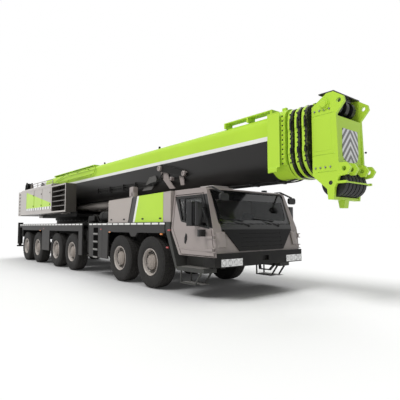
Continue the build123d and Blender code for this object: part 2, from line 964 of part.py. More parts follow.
with BuildPart() as carrier_cab:
    add(cab_outer)
    add(cab_inner, mode=Mode.SUBTRACT)
    for (side_name, side), opening in zip(sides, doorways):
        add(opening, mode=Mode.SUBTRACT)
        for z in hinge_heights:
            for ear_z in (z - ear_height - ear_gap, z + hinge_height + ear_gap):
                ear = (ear_z, ear_z + ear_height)
                ear_front_x = hinge_x + ear_length
                block(
                    hinge_x + door_gap,
                    ear_front_x,
                    *across(side, body_half_width - 45, ear_outer_y),
                    *ear,
                )
                block(hinge_x - hinge_pin_radius, ear_front_x, *across(side, leaf_y, ear_outer_y), *ear)
            pin_reach = ear_height + ear_gap
            upright(hinge_x, side * hinge_y, hinge_pin_radius, z - pin_reach, z + hinge_height + pin_reach)
    with BuildSketch(section_plane(roof_front_x - 300)):
        screen_opening()
    extrude(amount=cab_front_x - roof_front_x + 400, mode=Mode.SUBTRACT)
    # roof unit and beacon
    with BuildSketch(Plane.XY.offset(cab_roof_z)) as unit_base:
        with Locations((roof_front_x - 500, -650)):
            RectangleRounded(640, 720, 90)
    extrude(unit_base.sketch, amount=45)
    with BuildSketch(Plane.XY.offset(cab_roof_z + 45)) as unit_top:
        with Locations((roof_front_x - 500, -650)):
            RectangleRounded(480, 560, 70)
    extrude(unit_top.sketch, amount=40)
    upright(roof_front_x - 420, 1080, 75, cab_roof_z, cab_roof_z + 85)
save(carrier_cab.part, "carrier_cab")

for side_name, side in sides:
    with BuildPart() as door:
        add(cab_outer)
        side_prism(door_outline(0), *across(side, 1000, half_width), mode=Mode.INTERSECT)
        add(door_core, mode=Mode.SUBTRACT)
        side_prism(door_window(), *across(side, 1000, half_width), mode=Mode.SUBTRACT)
        for z in hinge_heights:
            upright(hinge_x, side * hinge_y, hinge_barrel_radius, z, z + hinge_height)
            block(hinge_x - 230, hinge_x - 8, *across(side, leaf_y, hinge_y + 6), z, z + hinge_height)
            block(
                hinge_x - 230,
                hinge_x - 150,
                *across(side, body_half_width - 12, leaf_y),
                z,
                z + hinge_height,
            )
            upright(
                hinge_x,
                side * hinge_y,
                hinge_pin_radius + pin_clearance,
                z - bore_overrun,
                z + hinge_height + bore_overrun,
                mode=Mode.SUBTRACT,
            )
        # rear-view mirror on its two arms, with the small kerb mirror below it
        for arm_z in (mirror_low_z + 20, mirror_high_z - 130):
            lean = cab_lean * (arm_z - cab_waist_z) / (cab_roof_z - cab_waist_z)
            arm = across(side, body_half_width - lean - 30, mirror_inner_y + 10)
            block(mirror_x - 15, mirror_x + 15, *arm, arm_z, arm_z + 30)
        with BuildSketch(Plane.XY.offset(mirror_low_z)):
            with Locations((mirror_x, side * (mirror_inner_y + mirror_outer_y) / 2)):
                RectangleRounded(90, mirror_outer_y - mirror_inner_y, 40)
        extrude(amount=mirror_high_z - mirror_low_z)
        block(
            mirror_x + 60,
            mirror_x + 80,
            *across(side, body_half_width - 12, kerb_mirror_y),
            kerb_mirror_z - 10,
            kerb_mirror_z + 10,
        )
        block(
            mirror_x + 50,
            mirror_x + 110,
            *across(side, kerb_mirror_y - 60, kerb_mirror_y + 120),
            kerb_mirror_z - 75,
            kerb_mirror_z + 75,
        )
    save(door.part, f"cab_door_{side_name}")

with BuildPart() as cab_glass:
    add(cab_volume(cab_wall / 3))
    add(cab_volume(cab_wall / 3 + glass_thickness), mode=Mode.SUBTRACT)
    with BuildSketch(section_plane(roof_front_x - 300)):
        screen_opening()
    extrude(amount=cab_front_x - roof_front_x + 400, mode=Mode.INTERSECT)
save(cab_glass.part, "cab_glass")

seat_y = 760
seat_rear_x = cab_rear_x + 430
with BuildPart() as cab_interior:
    floor_z = cab_floor_z + cab_wall
    for y in (-seat_y, seat_y):
        cushion = [
            (seat_rear_x, floor_z),
            (seat_rear_x + 470, floor_z),
            (seat_rear_x + 520, floor_z + 330),
            (seat_rear_x + 500, floor_z + 430),
            (seat_rear_x + 80, floor_z + 400),
            (seat_rear_x - 20, floor_z + 1000),
            (seat_rear_x - 130, floor_z + 1000),
            (seat_rear_x - 60, floor_z + 340),
        ]
        side_prism(cushion, y - 250, y + 250)
    block(seat_rear_x, screen_base_x - 360, -300, 300, floor_z, floor_z + 260)
    dashboard = [
        (screen_base_x - 330, floor_z),
        (screen_base_x - 130, floor_z),
        (screen_base_x - 130, screen_base_z - 130),
        (screen_base_x - 420, screen_base_z - 180),
        (screen_base_x - 420, screen_base_z - 330),
    ]
    side_prism(dashboard, -1150, 1150)
save(cab_interior.part, "cab_interior")

groove_pitch = (grille_top_z - grille_bottom_z) / (grille_grooves + 1)
with BuildPart() as front_grille:
    plate = [
        (face_x(grille_bottom_z), grille_bottom_z),
        (face_x(grille_bottom_z) + grille_thickness, grille_bottom_z),
        (face_x(grille_top_z) + grille_thickness, grille_top_z),
        (face_x(grille_top_z), grille_top_z),
    ]
    side_prism(plate, -grille_top_half, grille_top_half)
    with BuildSketch(section_plane(screen_base_x - 50)):
        with BuildLine():
            Polyline(
                (-grille_bottom_half, grille_bottom_z - bore_overrun),
                (-grille_top_half, grille_top_z + bore_overrun),
                (grille_top_half, grille_top_z + bore_overrun),
                (grille_bottom_half, grille_bottom_z - bore_overrun),
                close=True,
            )
        make_face()
    extrude(amount=cab_front_x - screen_base_x + 200, mode=Mode.INTERSECT)
    for index in range(grille_grooves):
        z = grille_bottom_z + groove_pitch * (index + 1)
        groove_x = face_x(z) + grille_thickness
        block(
            groove_x - 12,
            groove_x + 20,
            -grille_bottom_half + 40,
            grille_bottom_half - 40,
            z - 9,
            z + 9,
            mode=Mode.SUBTRACT,
        )
save(front_grille.part, "front_grille")

bumper_half = half_width - 20
bumper_rear_x = front_rail_end_x
with BuildPart() as front_bumper:
    plan = [
        (bumper_rear_x - 200, -bumper_half),
        (bumper_front_x - bumper_corner, -bumper_half),
        (bumper_front_x, -bumper_half + bumper_corner),
        (bumper_front_x, bumper_half - bumper_corner),
        (bumper_front_x - bumper_corner, bumper_half),
        (bumper_rear_x - 200, bumper_half),
    ]
    plan_prism(plan, bumper_bottom_z, bumper_top_z)
    inner_y = bumper_half - bumper_thickness
    block(
        bumper_rear_x - 201,
        bumper_front_x - bumper_thickness,
        -inner_y,
        inner_y,
        bumper_bottom_z - bore_overrun,
        bumper_top_z + bore_overrun,
        mode=Mode.SUBTRACT,
    )
    # room for the cab's foot
    block(
        bumper_rear_x - 201,
        cab_front_x + joint_gap,
        -bumper_half - bore_overrun,
        bumper_half + bore_overrun,
        cab_floor_z - joint_gap,
        bumper_top_z + bore_overrun,
        mode=Mode.SUBTRACT,
    )
    for side_name, side in sides:
        block(
            bumper_front_x - lamp_depth - 10,
            bumper_front_x + bore_overrun,
            *across(side, lamp_inner_y - 10, lamp_outer_y + 10),
            lamp_bottom_z - 10,
            lamp_top_z + 10,
            mode=Mode.SUBTRACT,
        )
    # pocket of the towing pin, and the block that bolts the bumper to the frame rails
    block(
        bumper_front_x - 60,
        bumper_front_x + bore_overrun,
        -tow_pocket_half,
        tow_pocket_half,
        tow_pocket_z,
        tow_pocket_z + tow_pocket_height,
        mode=Mode.SUBTRACT,
    )
    block(
        bumper_rear_x,
        bumper_front_x - bumper_thickness + weld_overlap,
        -rail_half_width,
        rail_half_width,
        bumper_bottom_z,
        front_rail_top_z - 20,
    )
    # hanging step under the middle of the bumper
    step = [
        (-175, bumper_bottom_z + 20),
        (-150, bumper_bottom_z - 110),
        (200, bumper_bottom_z - 160),
        (460, bumper_bottom_z + 20),
        (425, bumper_bottom_z + 20),
        (190, bumper_bottom_z - 128),
        (-122, bumper_bottom_z - 84),
        (-142, bumper_bottom_z + 20),
    ]
    with BuildSketch(section_plane(bumper_front_x - 80)):
        with BuildLine():
            Polyline(*step, close=True)
        make_face()
    extrude(amount=60)
save(front_bumper.part, "front_bumper")

sill_top_z = cab_floor_z - joint_gap
board_rear_x = axle_1_x + 1190
board_front_x = axle_1_x + 2180
board_z = 570
board_height = 90
board_depth = 370
strap_rear_x = board_rear_x + 130
strap_width = 30
with BuildPart() as access_steps:
    for side_name, side in sides:
        outer_y = half_width - 30
        board_y = across(side, outer_y - board_depth, outer_y)
        block(board_rear_x, board_front_x, *board_y, board_z, board_z + board_height)
        block(
            board_rear_x + 20,
            board_front_x - 20,
            *across(side, outer_y - board_depth, outer_y - board_depth + 70),
            board_z + board_height - weld_overlap,
            sill_top_z,
        )
        fender = [
            (deck_front_x + joint_gap, deck_top_z),
            (deck_front_x + joint_gap, 1520),
            (deck_front_x + 440, skirt_bottom_z),
            (board_rear_x + 10, skirt_bottom_z),
            (board_rear_x + 10, board_z + board_height),
            (deck_front_x + 200, 1420),
            (deck_front_x + 200, deck_top_z),
        ]
        side_prism(fender, *across(side, half_width - 600, half_width - 20))
        # hanging step: two bent straps with a tread between them
        tread_z = board_z - 285
        strap_outer = [(0, board_z + 5), (0, tread_z), (540, tread_z), (760, board_z + 5)]
        strap_inner = [(28, board_z + 30), (28, tread_z + 30), (525, tread_z + 30), (728, board_z + 30)]
        for y in (outer_y - board_depth + strap_width, outer_y - strap_width - 10):
            strap = [(strap_rear_x + px, z) for px, z in strap_outer]
            opening = [(strap_rear_x + px, z) for px, z in strap_inner]
            side_prism(strap, *across(side, y, y + strap_width))
            opening_y = across(side, y - bore_overrun, y + strap_width + bore_overrun)
            side_prism(opening, *opening_y, mode=Mode.SUBTRACT)
        tread_y = across(side, outer_y - board_depth + strap_width, outer_y - 10)
        block(strap_rear_x + 5, strap_rear_x + 535, *tread_y, tread_z + 3, tread_z + 27)
save(access_steps.part, "access_steps")

with BuildPart() as lamps:
    for side_name, side in sides:
        lamp_split = lamp_inner_y + 0.62 * (lamp_outer_y - lamp_inner_y)
        lamp_x = (bumper_front_x - lamp_depth - 5, bumper_front_x)
        block(*lamp_x, *across(side, lamp_inner_y, lamp_split - 5), lamp_bottom_z, lamp_top_z)
        block(*lamp_x, *across(side, lamp_split + 5, lamp_outer_y), lamp_bottom_z, lamp_top_z)
        block(
            rear_box_rear_x - 10,
            rear_box_rear_x,
            *across(side, 700, 1000),
            box_bottom_z + 120,
            box_bottom_z + 240,
        )
save(lamps.part, "lamps")

with BuildPart() as mirrors:
    for side_name, side in sides:
        arm_y = roof_half_width - 160
        arm = [
            (roof_front_x - 160, cab_roof_z),
            (roof_front_x - 160, cab_roof_z + 22),
            (roof_front_x + 40, cab_roof_z + 22),
            (screen_base_x + 60, cab_roof_z - 140),
            (screen_base_x + 60, cab_roof_z - 180),
            (roof_front_x, cab_roof_z),
        ]
        side_prism(arm, *across(side, arm_y, arm_y + 25))
        with BuildSketch(section_plane(screen_base_x + 30)):
            with Locations((side * arm_y, cab_roof_z - 240)):
                RectangleRounded(250, 160, 60)
        extrude(amount=60)
save(mirrors.part, "mirrors")

# ================================================================ superstructure
with BuildPart() as turntable:
    upright(slew_x, 0, ring_radius, ring_bottom_z, platform_bottom_z)
    plate_outer_y = plate_y + plate_thickness
    platform_rear_x = pivot_x - platform_behind
    platform_front_x = slew_x + platform_ahead
    block(
        platform_rear_x, platform_front_x, -plate_outer_y, plate_outer_y, platform_bottom_z, platform_top_z
    )
    for side_name, side in sides:
        plate_span = across(side, plate_y, plate_outer_y)
        outline = [
            (platform_rear_x, platform_top_z),
            (platform_rear_x, platform_top_z + 600),
            (pivot_x - pivot_boss_radius + 10, pivot_z + 40),
            (pivot_x + pivot_boss_radius - 40, pivot_z + 150),
            (pivot_x + 1500, platform_top_z + 460),
            (ram_foot_x + 350, platform_top_z + 110),
            (platform_front_x, platform_top_z + 110),
            (platform_front_x, platform_top_z),
        ]
        side_prism(outline, *plate_span)
        cross_rod(pivot_x, pivot_z, pivot_boss_radius, *plate_span)
        cross_rod(
            pivot_x,
            pivot_z,
            pivot_pin_radius + pin_clearance,
            plate_span[0] - bore_overrun,
            plate_span[1] + bore_overrun,
            mode=Mode.SUBTRACT,
        )
        lug_inner_y = ram_eye_half_width + slide_gap
        lug_span = across(side, lug_inner_y, lug_inner_y + ram_lug_thickness)
        foot = [
            (ram_foot_x - 220, platform_top_z),
            (ram_foot_x - 130, ram_foot_z + 60),
            (ram_foot_x - 60, ram_foot_z + 130),
            (ram_foot_x + 60, ram_foot_z + 130),
            (ram_foot_x + 130, ram_foot_z + 60),
            (ram_foot_x + 220, platform_top_z),
        ]
        side_prism(foot, *lug_span)
        cross_rod(
            ram_foot_x,
            ram_foot_z,
            ram_pin_radius + pin_clearance,
            lug_span[0] - bore_overrun,
            lug_span[1] + bore_overrun,
            mode=Mode.SUBTRACT,
        )
save(turntable.part, "turntable")

box_edge = 60
with BuildPart() as machinery_housing:
    for side, outer_y in ((-1, side_box_outer_y), (1, side_box_outer_y - 50)):
        with BuildSketch(section_plane(side_box_rear_x)) as box_end:
            with Locations((side * (side_box_y + outer_y) / 2, (side_box_bottom_z + side_box_top_z) / 2)):
                Rectangle(outer_y - side_box_y, side_box_height)
            chamfer(box_end.vertices().sort_by(Axis.Y)[-2:], box_edge)
        extrude(box_end.sketch, amount=side_box_front_x - side_box_rear_x)
        # brackets out to the turntable's side plates
        for x in (side_box_rear_x + 900, side_box_front_x - 500):
            block(
                x - 100,
                x + 100,
                *across(side, plate_y + plate_thickness, side_box_y + 200),
                side_box_bottom_z - 20,
                side_box_bottom_z + 120,
            )
    # ladder bay ahead of the right-hand box
    ladder_front_x = side_box_front_x + ladder_length
    ladder_y = (-side_box_outer_y, -side_box_outer_y + ladder_depth)
    ladder_z = (side_box_bottom_z + 10, side_box_top_z - 130)
    block(side_box_front_x - weld_overlap, ladder_front_x, *ladder_y, *ladder_z)
    block(
        side_box_front_x + 60,
        ladder_front_x - 70,
        ladder_y[0] - bore_overrun,
        ladder_y[1] - 40,
        ladder_z[0] + 60,
        ladder_z[1] - 50,
        mode=Mode.SUBTRACT,
    )
    step_rise = (ladder_z[1] - ladder_z[0] - 110) / ladder_steps
    for index in range(1, ladder_steps):
        z = ladder_z[0] + 60 + index * step_rise
        block(
            side_box_front_x + 50,
            ladder_front_x - 60,
            ladder_y[0] + 20,
            ladder_y[1] - 30,
            z - 18,
            z + 18,
        )
save(machinery_housing.part, "machinery_housing")

weight_front_x = side_box_rear_x - 5
weight_rear_x = tail_x + 10
weight_bottom_z = side_box_bottom_z - 30
weight_top_z = weight_bottom_z + counterweight_height
slab_height = counterweight_height / counterweight_slabs
groove_rear_x = weight_rear_x - bore_overrun
groove_outer_y = side_box_outer_y + bore_overrun
with BuildPart() as counterweight:
    with BuildSketch(Plane.XY.offset(weight_bottom_z)) as slab_plan:
        with Locations(((weight_rear_x + weight_front_x) / 2, 0)):
            Rectangle(weight_front_x - weight_rear_x, 2 * side_box_outer_y)
        chamfer(slab_plan.vertices().group_by(Axis.X)[0], 90)
    extrude(amount=counterweight_height)
    for index in range(1, counterweight_slabs):
        z = weight_bottom_z + index * slab_height
        for groove_x, groove_y in (
            ((groove_rear_x, weight_rear_x + slab_groove), (-side_box_outer_y, side_box_outer_y)),
            ((groove_rear_x, weight_front_x), (-groove_outer_y, -side_box_outer_y + slab_groove)),
            ((groove_rear_x, weight_front_x), (side_box_outer_y - slab_groove, groove_outer_y)),
        ):
            block(*groove_x, *groove_y, z - slab_groove / 2, z + slab_groove / 2, mode=Mode.SUBTRACT)
    block(
        weight_front_x - weld_overlap,
        platform_rear_x,
        -plate_y,
        plate_y,
        platform_bottom_z + 20,
        platform_top_z + 200,
    )
    # cheeks of the hoist winch
    for side_name, side in sides:
        cheek_y = across(side, drum_half + slide_gap, drum_half + slide_gap + cheek_thickness)
        cheek = [
            (winch_x - 240, weight_top_z - weld_overlap),
            (winch_x - 90, winch_z + 60),
            (winch_x - 40, winch_z + 110),
            (winch_x + 40, winch_z + 110),
            (winch_x + 90, winch_z + 60),
            (winch_x + 240, weight_top_z - weld_overlap),
        ]
        side_prism(cheek, *cheek_y)
        cross_rod(
            winch_x,
            winch_z,
            winch_shaft_radius + pin_clearance,
            cheek_y[0] - bore_overrun,
            cheek_y[1] + bore_overrun,
            mode=Mode.SUBTRACT,
        )
save(counterweight.part, "counterweight")

with BuildPart() as winch_drum:
    cheek_reach = drum_half + slide_gap + cheek_thickness
    cross_rod(winch_x, winch_z, winch_shaft_radius, -cheek_reach, cheek_reach)
    cross_rod(winch_x, winch_z, drum_radius, -drum_half, drum_half)
    for side_name, side in sides:
        cross_rod(winch_x, winch_z, flange_radius, *across(side, drum_half - 40, drum_half))
save(winch_drum.part, "winch_drum")


def crane_cab_outline():
    """Side view of the operator's cab, on the running sketch."""
    with BuildLine() as edge:
        Polyline(
            (crane_cab_rear_x, crane_cab_bottom_z),
            (crane_cab_front_x - 200, crane_cab_bottom_z),
            (crane_cab_front_x, crane_cab_bottom_z + 420),
            (crane_cab_front_x - crane_cab_slope + 60, crane_cab_top_z - 60),
            (crane_cab_front_x - crane_cab_slope - 60, crane_cab_top_z),
            (crane_cab_rear_x, crane_cab_top_z),
            close=True,
        )
    make_face(edge.edges())


crane_window = [
    (crane_cab_rear_x + 300, crane_cab_bottom_z + 750),
    (crane_cab_rear_x + 300, crane_cab_top_z - 200),
    (crane_cab_rear_x + 860, crane_cab_top_z - 200),
    (crane_cab_rear_x + 860, crane_cab_bottom_z + 620),
]
with BuildPart() as crane_cab:
    with BuildSketch(side_plane(crane_cab_outer_y)) as shell:
        crane_cab_outline()
    extrude(shell.sketch, amount=crane_cab_outer_y - side_box_y)
    with BuildSketch(side_plane(crane_cab_outer_y - crane_cab_wall)) as hollow:
        crane_cab_outline()
        offset(amount=-crane_cab_wall, kind=Kind.INTERSECTION, mode=Mode.REPLACE)
    extrude(hollow.sketch, amount=crane_cab_outer_y - side_box_y - 2 * crane_cab_wall, mode=Mode.SUBTRACT)
    # front screen, roof light, doorway and the window beside the boom
    block(
        crane_cab_front_x - crane_cab_slope - 20,
        crane_cab_front_x + 10,
        side_box_y + 100,
        crane_cab_outer_y - 100,
        crane_cab_bottom_z + 470,
        crane_cab_top_z - 130,
        mode=Mode.SUBTRACT,
    )
    block(
        crane_cab_rear_x + 700,
        crane_cab_front_x - crane_cab_slope - 120,
        side_box_y + 130,
        crane_cab_outer_y - 130,
        crane_cab_top_z - 100,
        crane_cab_top_z + 10,
        mode=Mode.SUBTRACT,
    )
    block(
        crane_cab_rear_x + 250,
        crane_cab_rear_x + 920,
        crane_cab_outer_y - 100,
        crane_cab_outer_y + 10,
        crane_cab_bottom_z + 80,
        crane_cab_top_z - 120,
        mode=Mode.SUBTRACT,
    )
    side_prism(
        [(x + 680, z) for x, z in crane_window[:2]]
        + [(crane_cab_front_x - crane_cab_slope - 40, crane_cab_top_z - 200)]
        + [(crane_cab_front_x - 140, crane_cab_bottom_z + 620)],
        side_box_y - bore_overrun,
        crane_cab_outer_y + bore_overrun,
        mode=Mode.SUBTRACT,
    )
    crane_seat = [
        (crane_cab_rear_x + 330, crane_cab_bottom_z + crane_cab_wall - weld_overlap),
        (crane_cab_rear_x + 760, crane_cab_bottom_z + crane_cab_wall - weld_overlap),
        (crane_cab_rear_x + 820, crane_cab_bottom_z + 430),
        (crane_cab_rear_x + 360, crane_cab_bottom_z + 400),
        (crane_cab_rear_x + 260, crane_cab_bottom_z + 1100),
        (crane_cab_rear_x + 150, crane_cab_bottom_z + 1100),
    ]
    seat_middle_y = (side_box_y + crane_cab_outer_y) / 2
    side_prism(crane_seat, seat_middle_y - 230, seat_middle_y + 230)
save(crane_cab.part, "crane_cab")

with BuildPart() as crane_cab_door:
    block(
        crane_cab_rear_x + 220,
        crane_cab_rear_x + 950,
        crane_cab_outer_y + slide_gap,
        crane_cab_outer_y + slide_gap + crane_door_thickness,
        crane_cab_bottom_z + 60,
        crane_cab_top_z - 100,
    )
    side_prism(crane_window, crane_cab_outer_y, crane_cab_outer_y + 100, mode=Mode.SUBTRACT)
save(crane_cab_door.part, "crane_cab_door")


# ================================================================ boom
def boom_outline(inset):
    """The boom's cross-section on the running sketch: flat top, deep rounded belly."""
    half = boom_half - inset
    low = boom_bottom_z + inset
    high = boom_top_z - inset
    bilge = boom_bilge - inset
    shoulder = boom_shoulder - inset
    with BuildLine() as edge:
        Line((-half + bilge, low), (half - bilge, low))
        RadiusArc((half - bilge, low), (half, low + bilge), -bilge)
        Line((half, low + bilge), (half, high - shoulder))
        RadiusArc((half, high - shoulder), (half - shoulder, high), -shoulder)
        Line((half - shoulder, high), (-half + shoulder, high))
        RadiusArc((-half + shoulder, high), (-half, high - shoulder), -shoulder)
        Line((-half, high - shoulder), (-half, low + bilge))
        RadiusArc((-half, low + bilge), (-half + bilge, low), -bilge)
    make_face(edge.edges())


def boom_tube(rear_x, front_x, inset, wall, mode=Mode.ADD):
    """A hollow length of boom section, in the running part."""
    with BuildSketch(section_plane(rear_x)) as outer:
        boom_outline(inset)
    with BuildSketch(section_plane(rear_x)) as inner:
        boom_outline(inset + wall)
    extrude(outer.sketch - inner.sketch, amount=front_x - rear_x, mode=mode)


rail_side_y = boom_half - 60
rail_plate = 22
flank_plate_thickness = 32
bracket_x = axle_1_x - 870
# guard rails along the boom's top: (rear x, front x, height)
top_rails = [
    (boom_rear_x + 1020, boom_rear_x + 5550, 60),
    (boom_front_x - 1620, boom_front_x - 120, 130),
]
# side view of the two support plates on each flank of the boom
flank_plates = [
    [
        (bracket_x, boom_bottom_z + 610),
        (bracket_x + 360, boom_bottom_z + 610),
        (bracket_x + 430, boom_bottom_z + 330),
        (bracket_x + 720, boom_bottom_z + 60),
        (bracket_x + 480, boom_bottom_z + 60),
        (bracket_x + 60, boom_bottom_z + 430),
    ],
    [
        (bracket_x + 890, boom_bottom_z + 500),
        (bracket_x + 1100, boom_bottom_z + 500),
        (bracket_x + 1150, boom_bottom_z + 120),
        (bracket_x + 1000, boom_bottom_z + 120),
    ],
]
with BuildPart() as boom_base:
    with BuildSketch(section_plane(boom_rear_x)):
        boom_outline(0)
    extrude(amount=boom_solid_length)
    boom_tube(boom_rear_x + boom_solid_length, boom_front_x, 0, boom_plate)
    boom_tube(boom_front_x, collar_front_x, -collar_growth, collar_growth + boom_plate)
    block(
        boom_front_x,
        collar_front_x + bore_overrun,
        -2 * boom_half,
        2 * boom_half,
        boom_bottom_z - 2 * collar_growth,
        saddle_bottom_z,
        mode=Mode.SUBTRACT,
    )
    boom_tube(boom_front_x, collar_front_x, 0, boom_plate)
    foot_cut = [
        (boom_rear_x - 10, boom_bottom_z - 10),
        (boom_rear_x + 500, boom_bottom_z - 10),
        (boom_rear_x + 500, boom_bottom_z),
        (boom_rear_x, pivot_z - 250),
        (boom_rear_x - 10, pivot_z - 250),
    ]
    side_prism(foot_cut, -boom_half - bore_overrun, boom_half + bore_overrun, mode=Mode.SUBTRACT)
    pin_reach = plate_y + plate_thickness + plate_gap
    cross_rod(pivot_x, pivot_z, pivot_pin_radius, -pin_reach, pin_reach)
    for side_name, side in sides:
        lug_inner_y = ram_eye_half_width + slide_gap
        lug = [
            (ram_eye_x - 330, boom_bottom_z + 5),
            (ram_eye_x - 110, ram_eye_z - 60),
            (ram_eye_x - 50, ram_eye_z - 130),
            (ram_eye_x + 50, ram_eye_z - 130),
            (ram_eye_x + 110, ram_eye_z - 60),
            (ram_eye_x + 180, boom_bottom_z + 5),
        ]
        side_prism(lug, *across(side, lug_inner_y, lug_inner_y + ram_lug_thickness - 10))
        for plate in flank_plates:
            side_prism(plate, *across(side, boom_half - weld_overlap, boom_half + flank_plate_thickness))
        # lifting lugs on the collar, for the guy frame
        block(
            boom_front_x + 90,
            boom_front_x + 190,
            *across(side, 330, 390),
            boom_top_z,
            boom_top_z + collar_growth + 60,
        )
    for rear_x, front_x, height in top_rails:
        rail_y = across(-1, rail_side_y - 240, rail_side_y)
        block(rear_x, front_x, *rail_y, boom_top_z + height - rail_plate, boom_top_z + height)
        for x in (rear_x, (rear_x + front_x) / 2, front_x - 50):
            foot_top_z = boom_top_z + height - rail_plate + weld_overlap
            block(x, x + 50, *rail_y, boom_top_z - weld_overlap, foot_top_z)
save(boom_base.part, "boom_base")

for level in (1, 2, 3):
    with BuildPart() as tele:
        inset = level * boom_step
        ring_x = collar_front_x + ring_gap + (level - 1) * ring_pitch
        boom_tube(tele_rear_x + 100 * level, ring_x, inset, boom_plate)
        boom_tube(ring_x, ring_x + ring_length, -ring_growth, ring_growth + inset + boom_plate)
        for side_name, side in sides:
            # lugs of the ring: on its top, and high and low on its side
            lug_top_z = boom_top_z + ring_growth + 75
            block(ring_x + 20, ring_x + 100, *across(side, 150, 210), boom_top_z, lug_top_z)
            lug_y = across(side, boom_half, boom_half + ring_growth + 35)
            block(ring_x + 20, ring_x + 100, *lug_y, boom_bottom_z + 950, boom_bottom_z + 1130)
            block(ring_x + 20, ring_x + 100, *lug_y, boom_bottom_z + 450, boom_bottom_z + 560)
    save(tele.part, f"boom_tele_{level}")


def head_outline():
    """Side view of the head's cheek plates, on the running sketch."""
    with BuildLine() as edge:
        Polyline(
            (head_rear_x, boom_bottom_z - 40),
            (head_rear_x, boom_top_z - 80),
            (head_rear_x + 330, boom_top_z + cheek_rise),
            (head_rear_x + 470, boom_top_z + cheek_rise),
            (upper_pin_x + 90, upper_pin_z + 60),
            (upper_pin_x + 110, upper_pin_z - 40),
            (head_front_x - 30, upper_pin_z - 240),
            (head_front_x, lower_pin_z + 120),
            (lower_pin_x + 60, lower_pin_z + 105),
            (lower_pin_x + jib_lug_radius, lower_pin_z),
            (lower_pin_x + 60, lower_pin_z - 110),
            (head_front_x, lower_pin_z - 130),
            (chin_pin_x + 130, chin_pin_z),
            (chin_pin_x + 60, chin_pin_z - 130),
            (chin_pin_x - 60, chin_pin_z - 130),
            close=True,
        )
    make_face(edge.edges())


head_inner_half = head_half - head_plate
plate_bottom_z = lower_pin_z + 110
plate_top_z = boom_top_z - 330
with BuildPart() as boom_tele_4:
    inset = 4 * boom_step
    boom_tube(tele_rear_x + 400, head_rear_x, inset, boom_plate)
    # back wall and front plate between the cheeks
    block(
        head_rear_x,
        head_rear_x + 60,
        -head_inner_half - weld_overlap,
        head_inner_half + weld_overlap,
        boom_bottom_z,
        boom_top_z - 90,
    )
    block(
        head_front_x - 70,
        head_front_x - 30,
        -head_inner_half - weld_overlap,
        head_inner_half + weld_overlap,
        plate_bottom_z,
        plate_top_z,
    )
    block(
        head_rear_x + 50,
        head_front_x - 31,
        -head_inner_half - weld_overlap,
        head_inner_half + weld_overlap,
        plate_bottom_z,
        plate_bottom_z + 40,
    )
    for side_name, side in sides:
        with BuildSketch(side_plane(max(across(side, head_inner_half, head_half)))) as cheek:
            head_outline()
        extrude(cheek.sketch, amount=head_plate)
        # boss above the upper pin, and the inner lower lug
        boss_y = across(side, head_half - weld_overlap, head_half + 45)
        cross_rod(head_rear_x + 300, upper_pin_z + 10, 75, *boss_y)
        inner_lug = [
            (head_front_x - 60, lower_pin_z + 150),
            (lower_pin_x + 60, lower_pin_z + 105),
            (lower_pin_x + jib_lug_radius, lower_pin_z),
            (lower_pin_x + 60, lower_pin_z - 110),
            (head_front_x + 80, lower_pin_z - 110),
            (head_front_x - 60, lower_pin_z + 25),
        ]
        side_prism(inner_lug, *across(side, inner_lug_y - 30, inner_lug_y + 30))
        block(
            head_front_x - 110,
            head_front_x - 60,
            *across(side, inner_lug_y - 30, inner_lug_y + 30),
            lower_pin_z + 30,
            plate_bottom_z + weld_overlap,
        )
        # hanger that carries the landing bar below the sheaves, and arm of the rope bar
        hanger = [
            (chin_pin_x - 80, chin_pin_z - 90),
            (chin_pin_x + 80, chin_pin_z - 90),
            (chin_pin_x + 60, bar_top_z - bar_height),
            (chin_pin_x - 60, bar_top_z - bar_height),
        ]
        side_prism(hanger, *across(side, head_inner_half, head_half))
        block(
            chin_pin_x + 90,
            rope_bar_x + 25,
            *across(side, head_inner_half, head_half),
            chin_pin_z - 22,
            chin_pin_z + 22,
        )
    # landing bar with its foot, and the bar that keeps the ropes on the sheaves
    block(chin_pin_x - 55, chin_pin_x + 55, -head_half, head_half, bar_top_z - bar_height, bar_top_z)
    foot = [
        (chin_pin_x - 100, bar_top_z - bar_height + weld_overlap),
        (chin_pin_x + 50, bar_top_z - bar_height + weld_overlap),
        (chin_pin_x + 25, bar_top_z - foot_reach),
        (chin_pin_x - 70, bar_top_z - foot_reach),
    ]
    side_prism(foot, -75, 75)
    cross_rod(rope_bar_x, chin_pin_z, 15, -head_half, head_half)
    # guide sheaves under the guard plate between the cheeks' tops
    guide_x = head_rear_x + 330
    guide_z = boom_top_z - 90
    guide_reach = head_inner_half + weld_overlap
    cross_rod(guide_x, guide_z, chin_pin_radius, -guide_reach, guide_reach)
    for index in range(guide_count):
        y = (index - (guide_count - 1) / 2) * guide_pitch
        cross_rod(guide_x, guide_z, guide_radius, y - sheave_width / 2, y + sheave_width / 2)
    guard = [
        (head_rear_x + 160, boom_top_z + cheek_rise - weld_overlap),
        (head_rear_x + 480, boom_top_z + cheek_rise - weld_overlap),
        (head_rear_x + 480, boom_top_z + cheek_rise + 20),
        (head_rear_x + 160, boom_top_z + cheek_rise + 20),
    ]
    side_prism(guard, -head_half, head_half)
    # bores right through the cheeks and lugs
    for hole_x, hole_z, hole_radius in (
        (upper_pin_x, upper_pin_z, jib_pin_radius),
        (lower_pin_x, lower_pin_z, jib_pin_radius),
        (chin_pin_x, chin_pin_z, chin_pin_radius + pin_clearance),
    ):
        bore_reach = head_half + bore_overrun
        cross_rod(hole_x, hole_z, hole_radius, -bore_reach, bore_reach, mode=Mode.SUBTRACT)
save(boom_tele_4.part, "boom_tele_4")

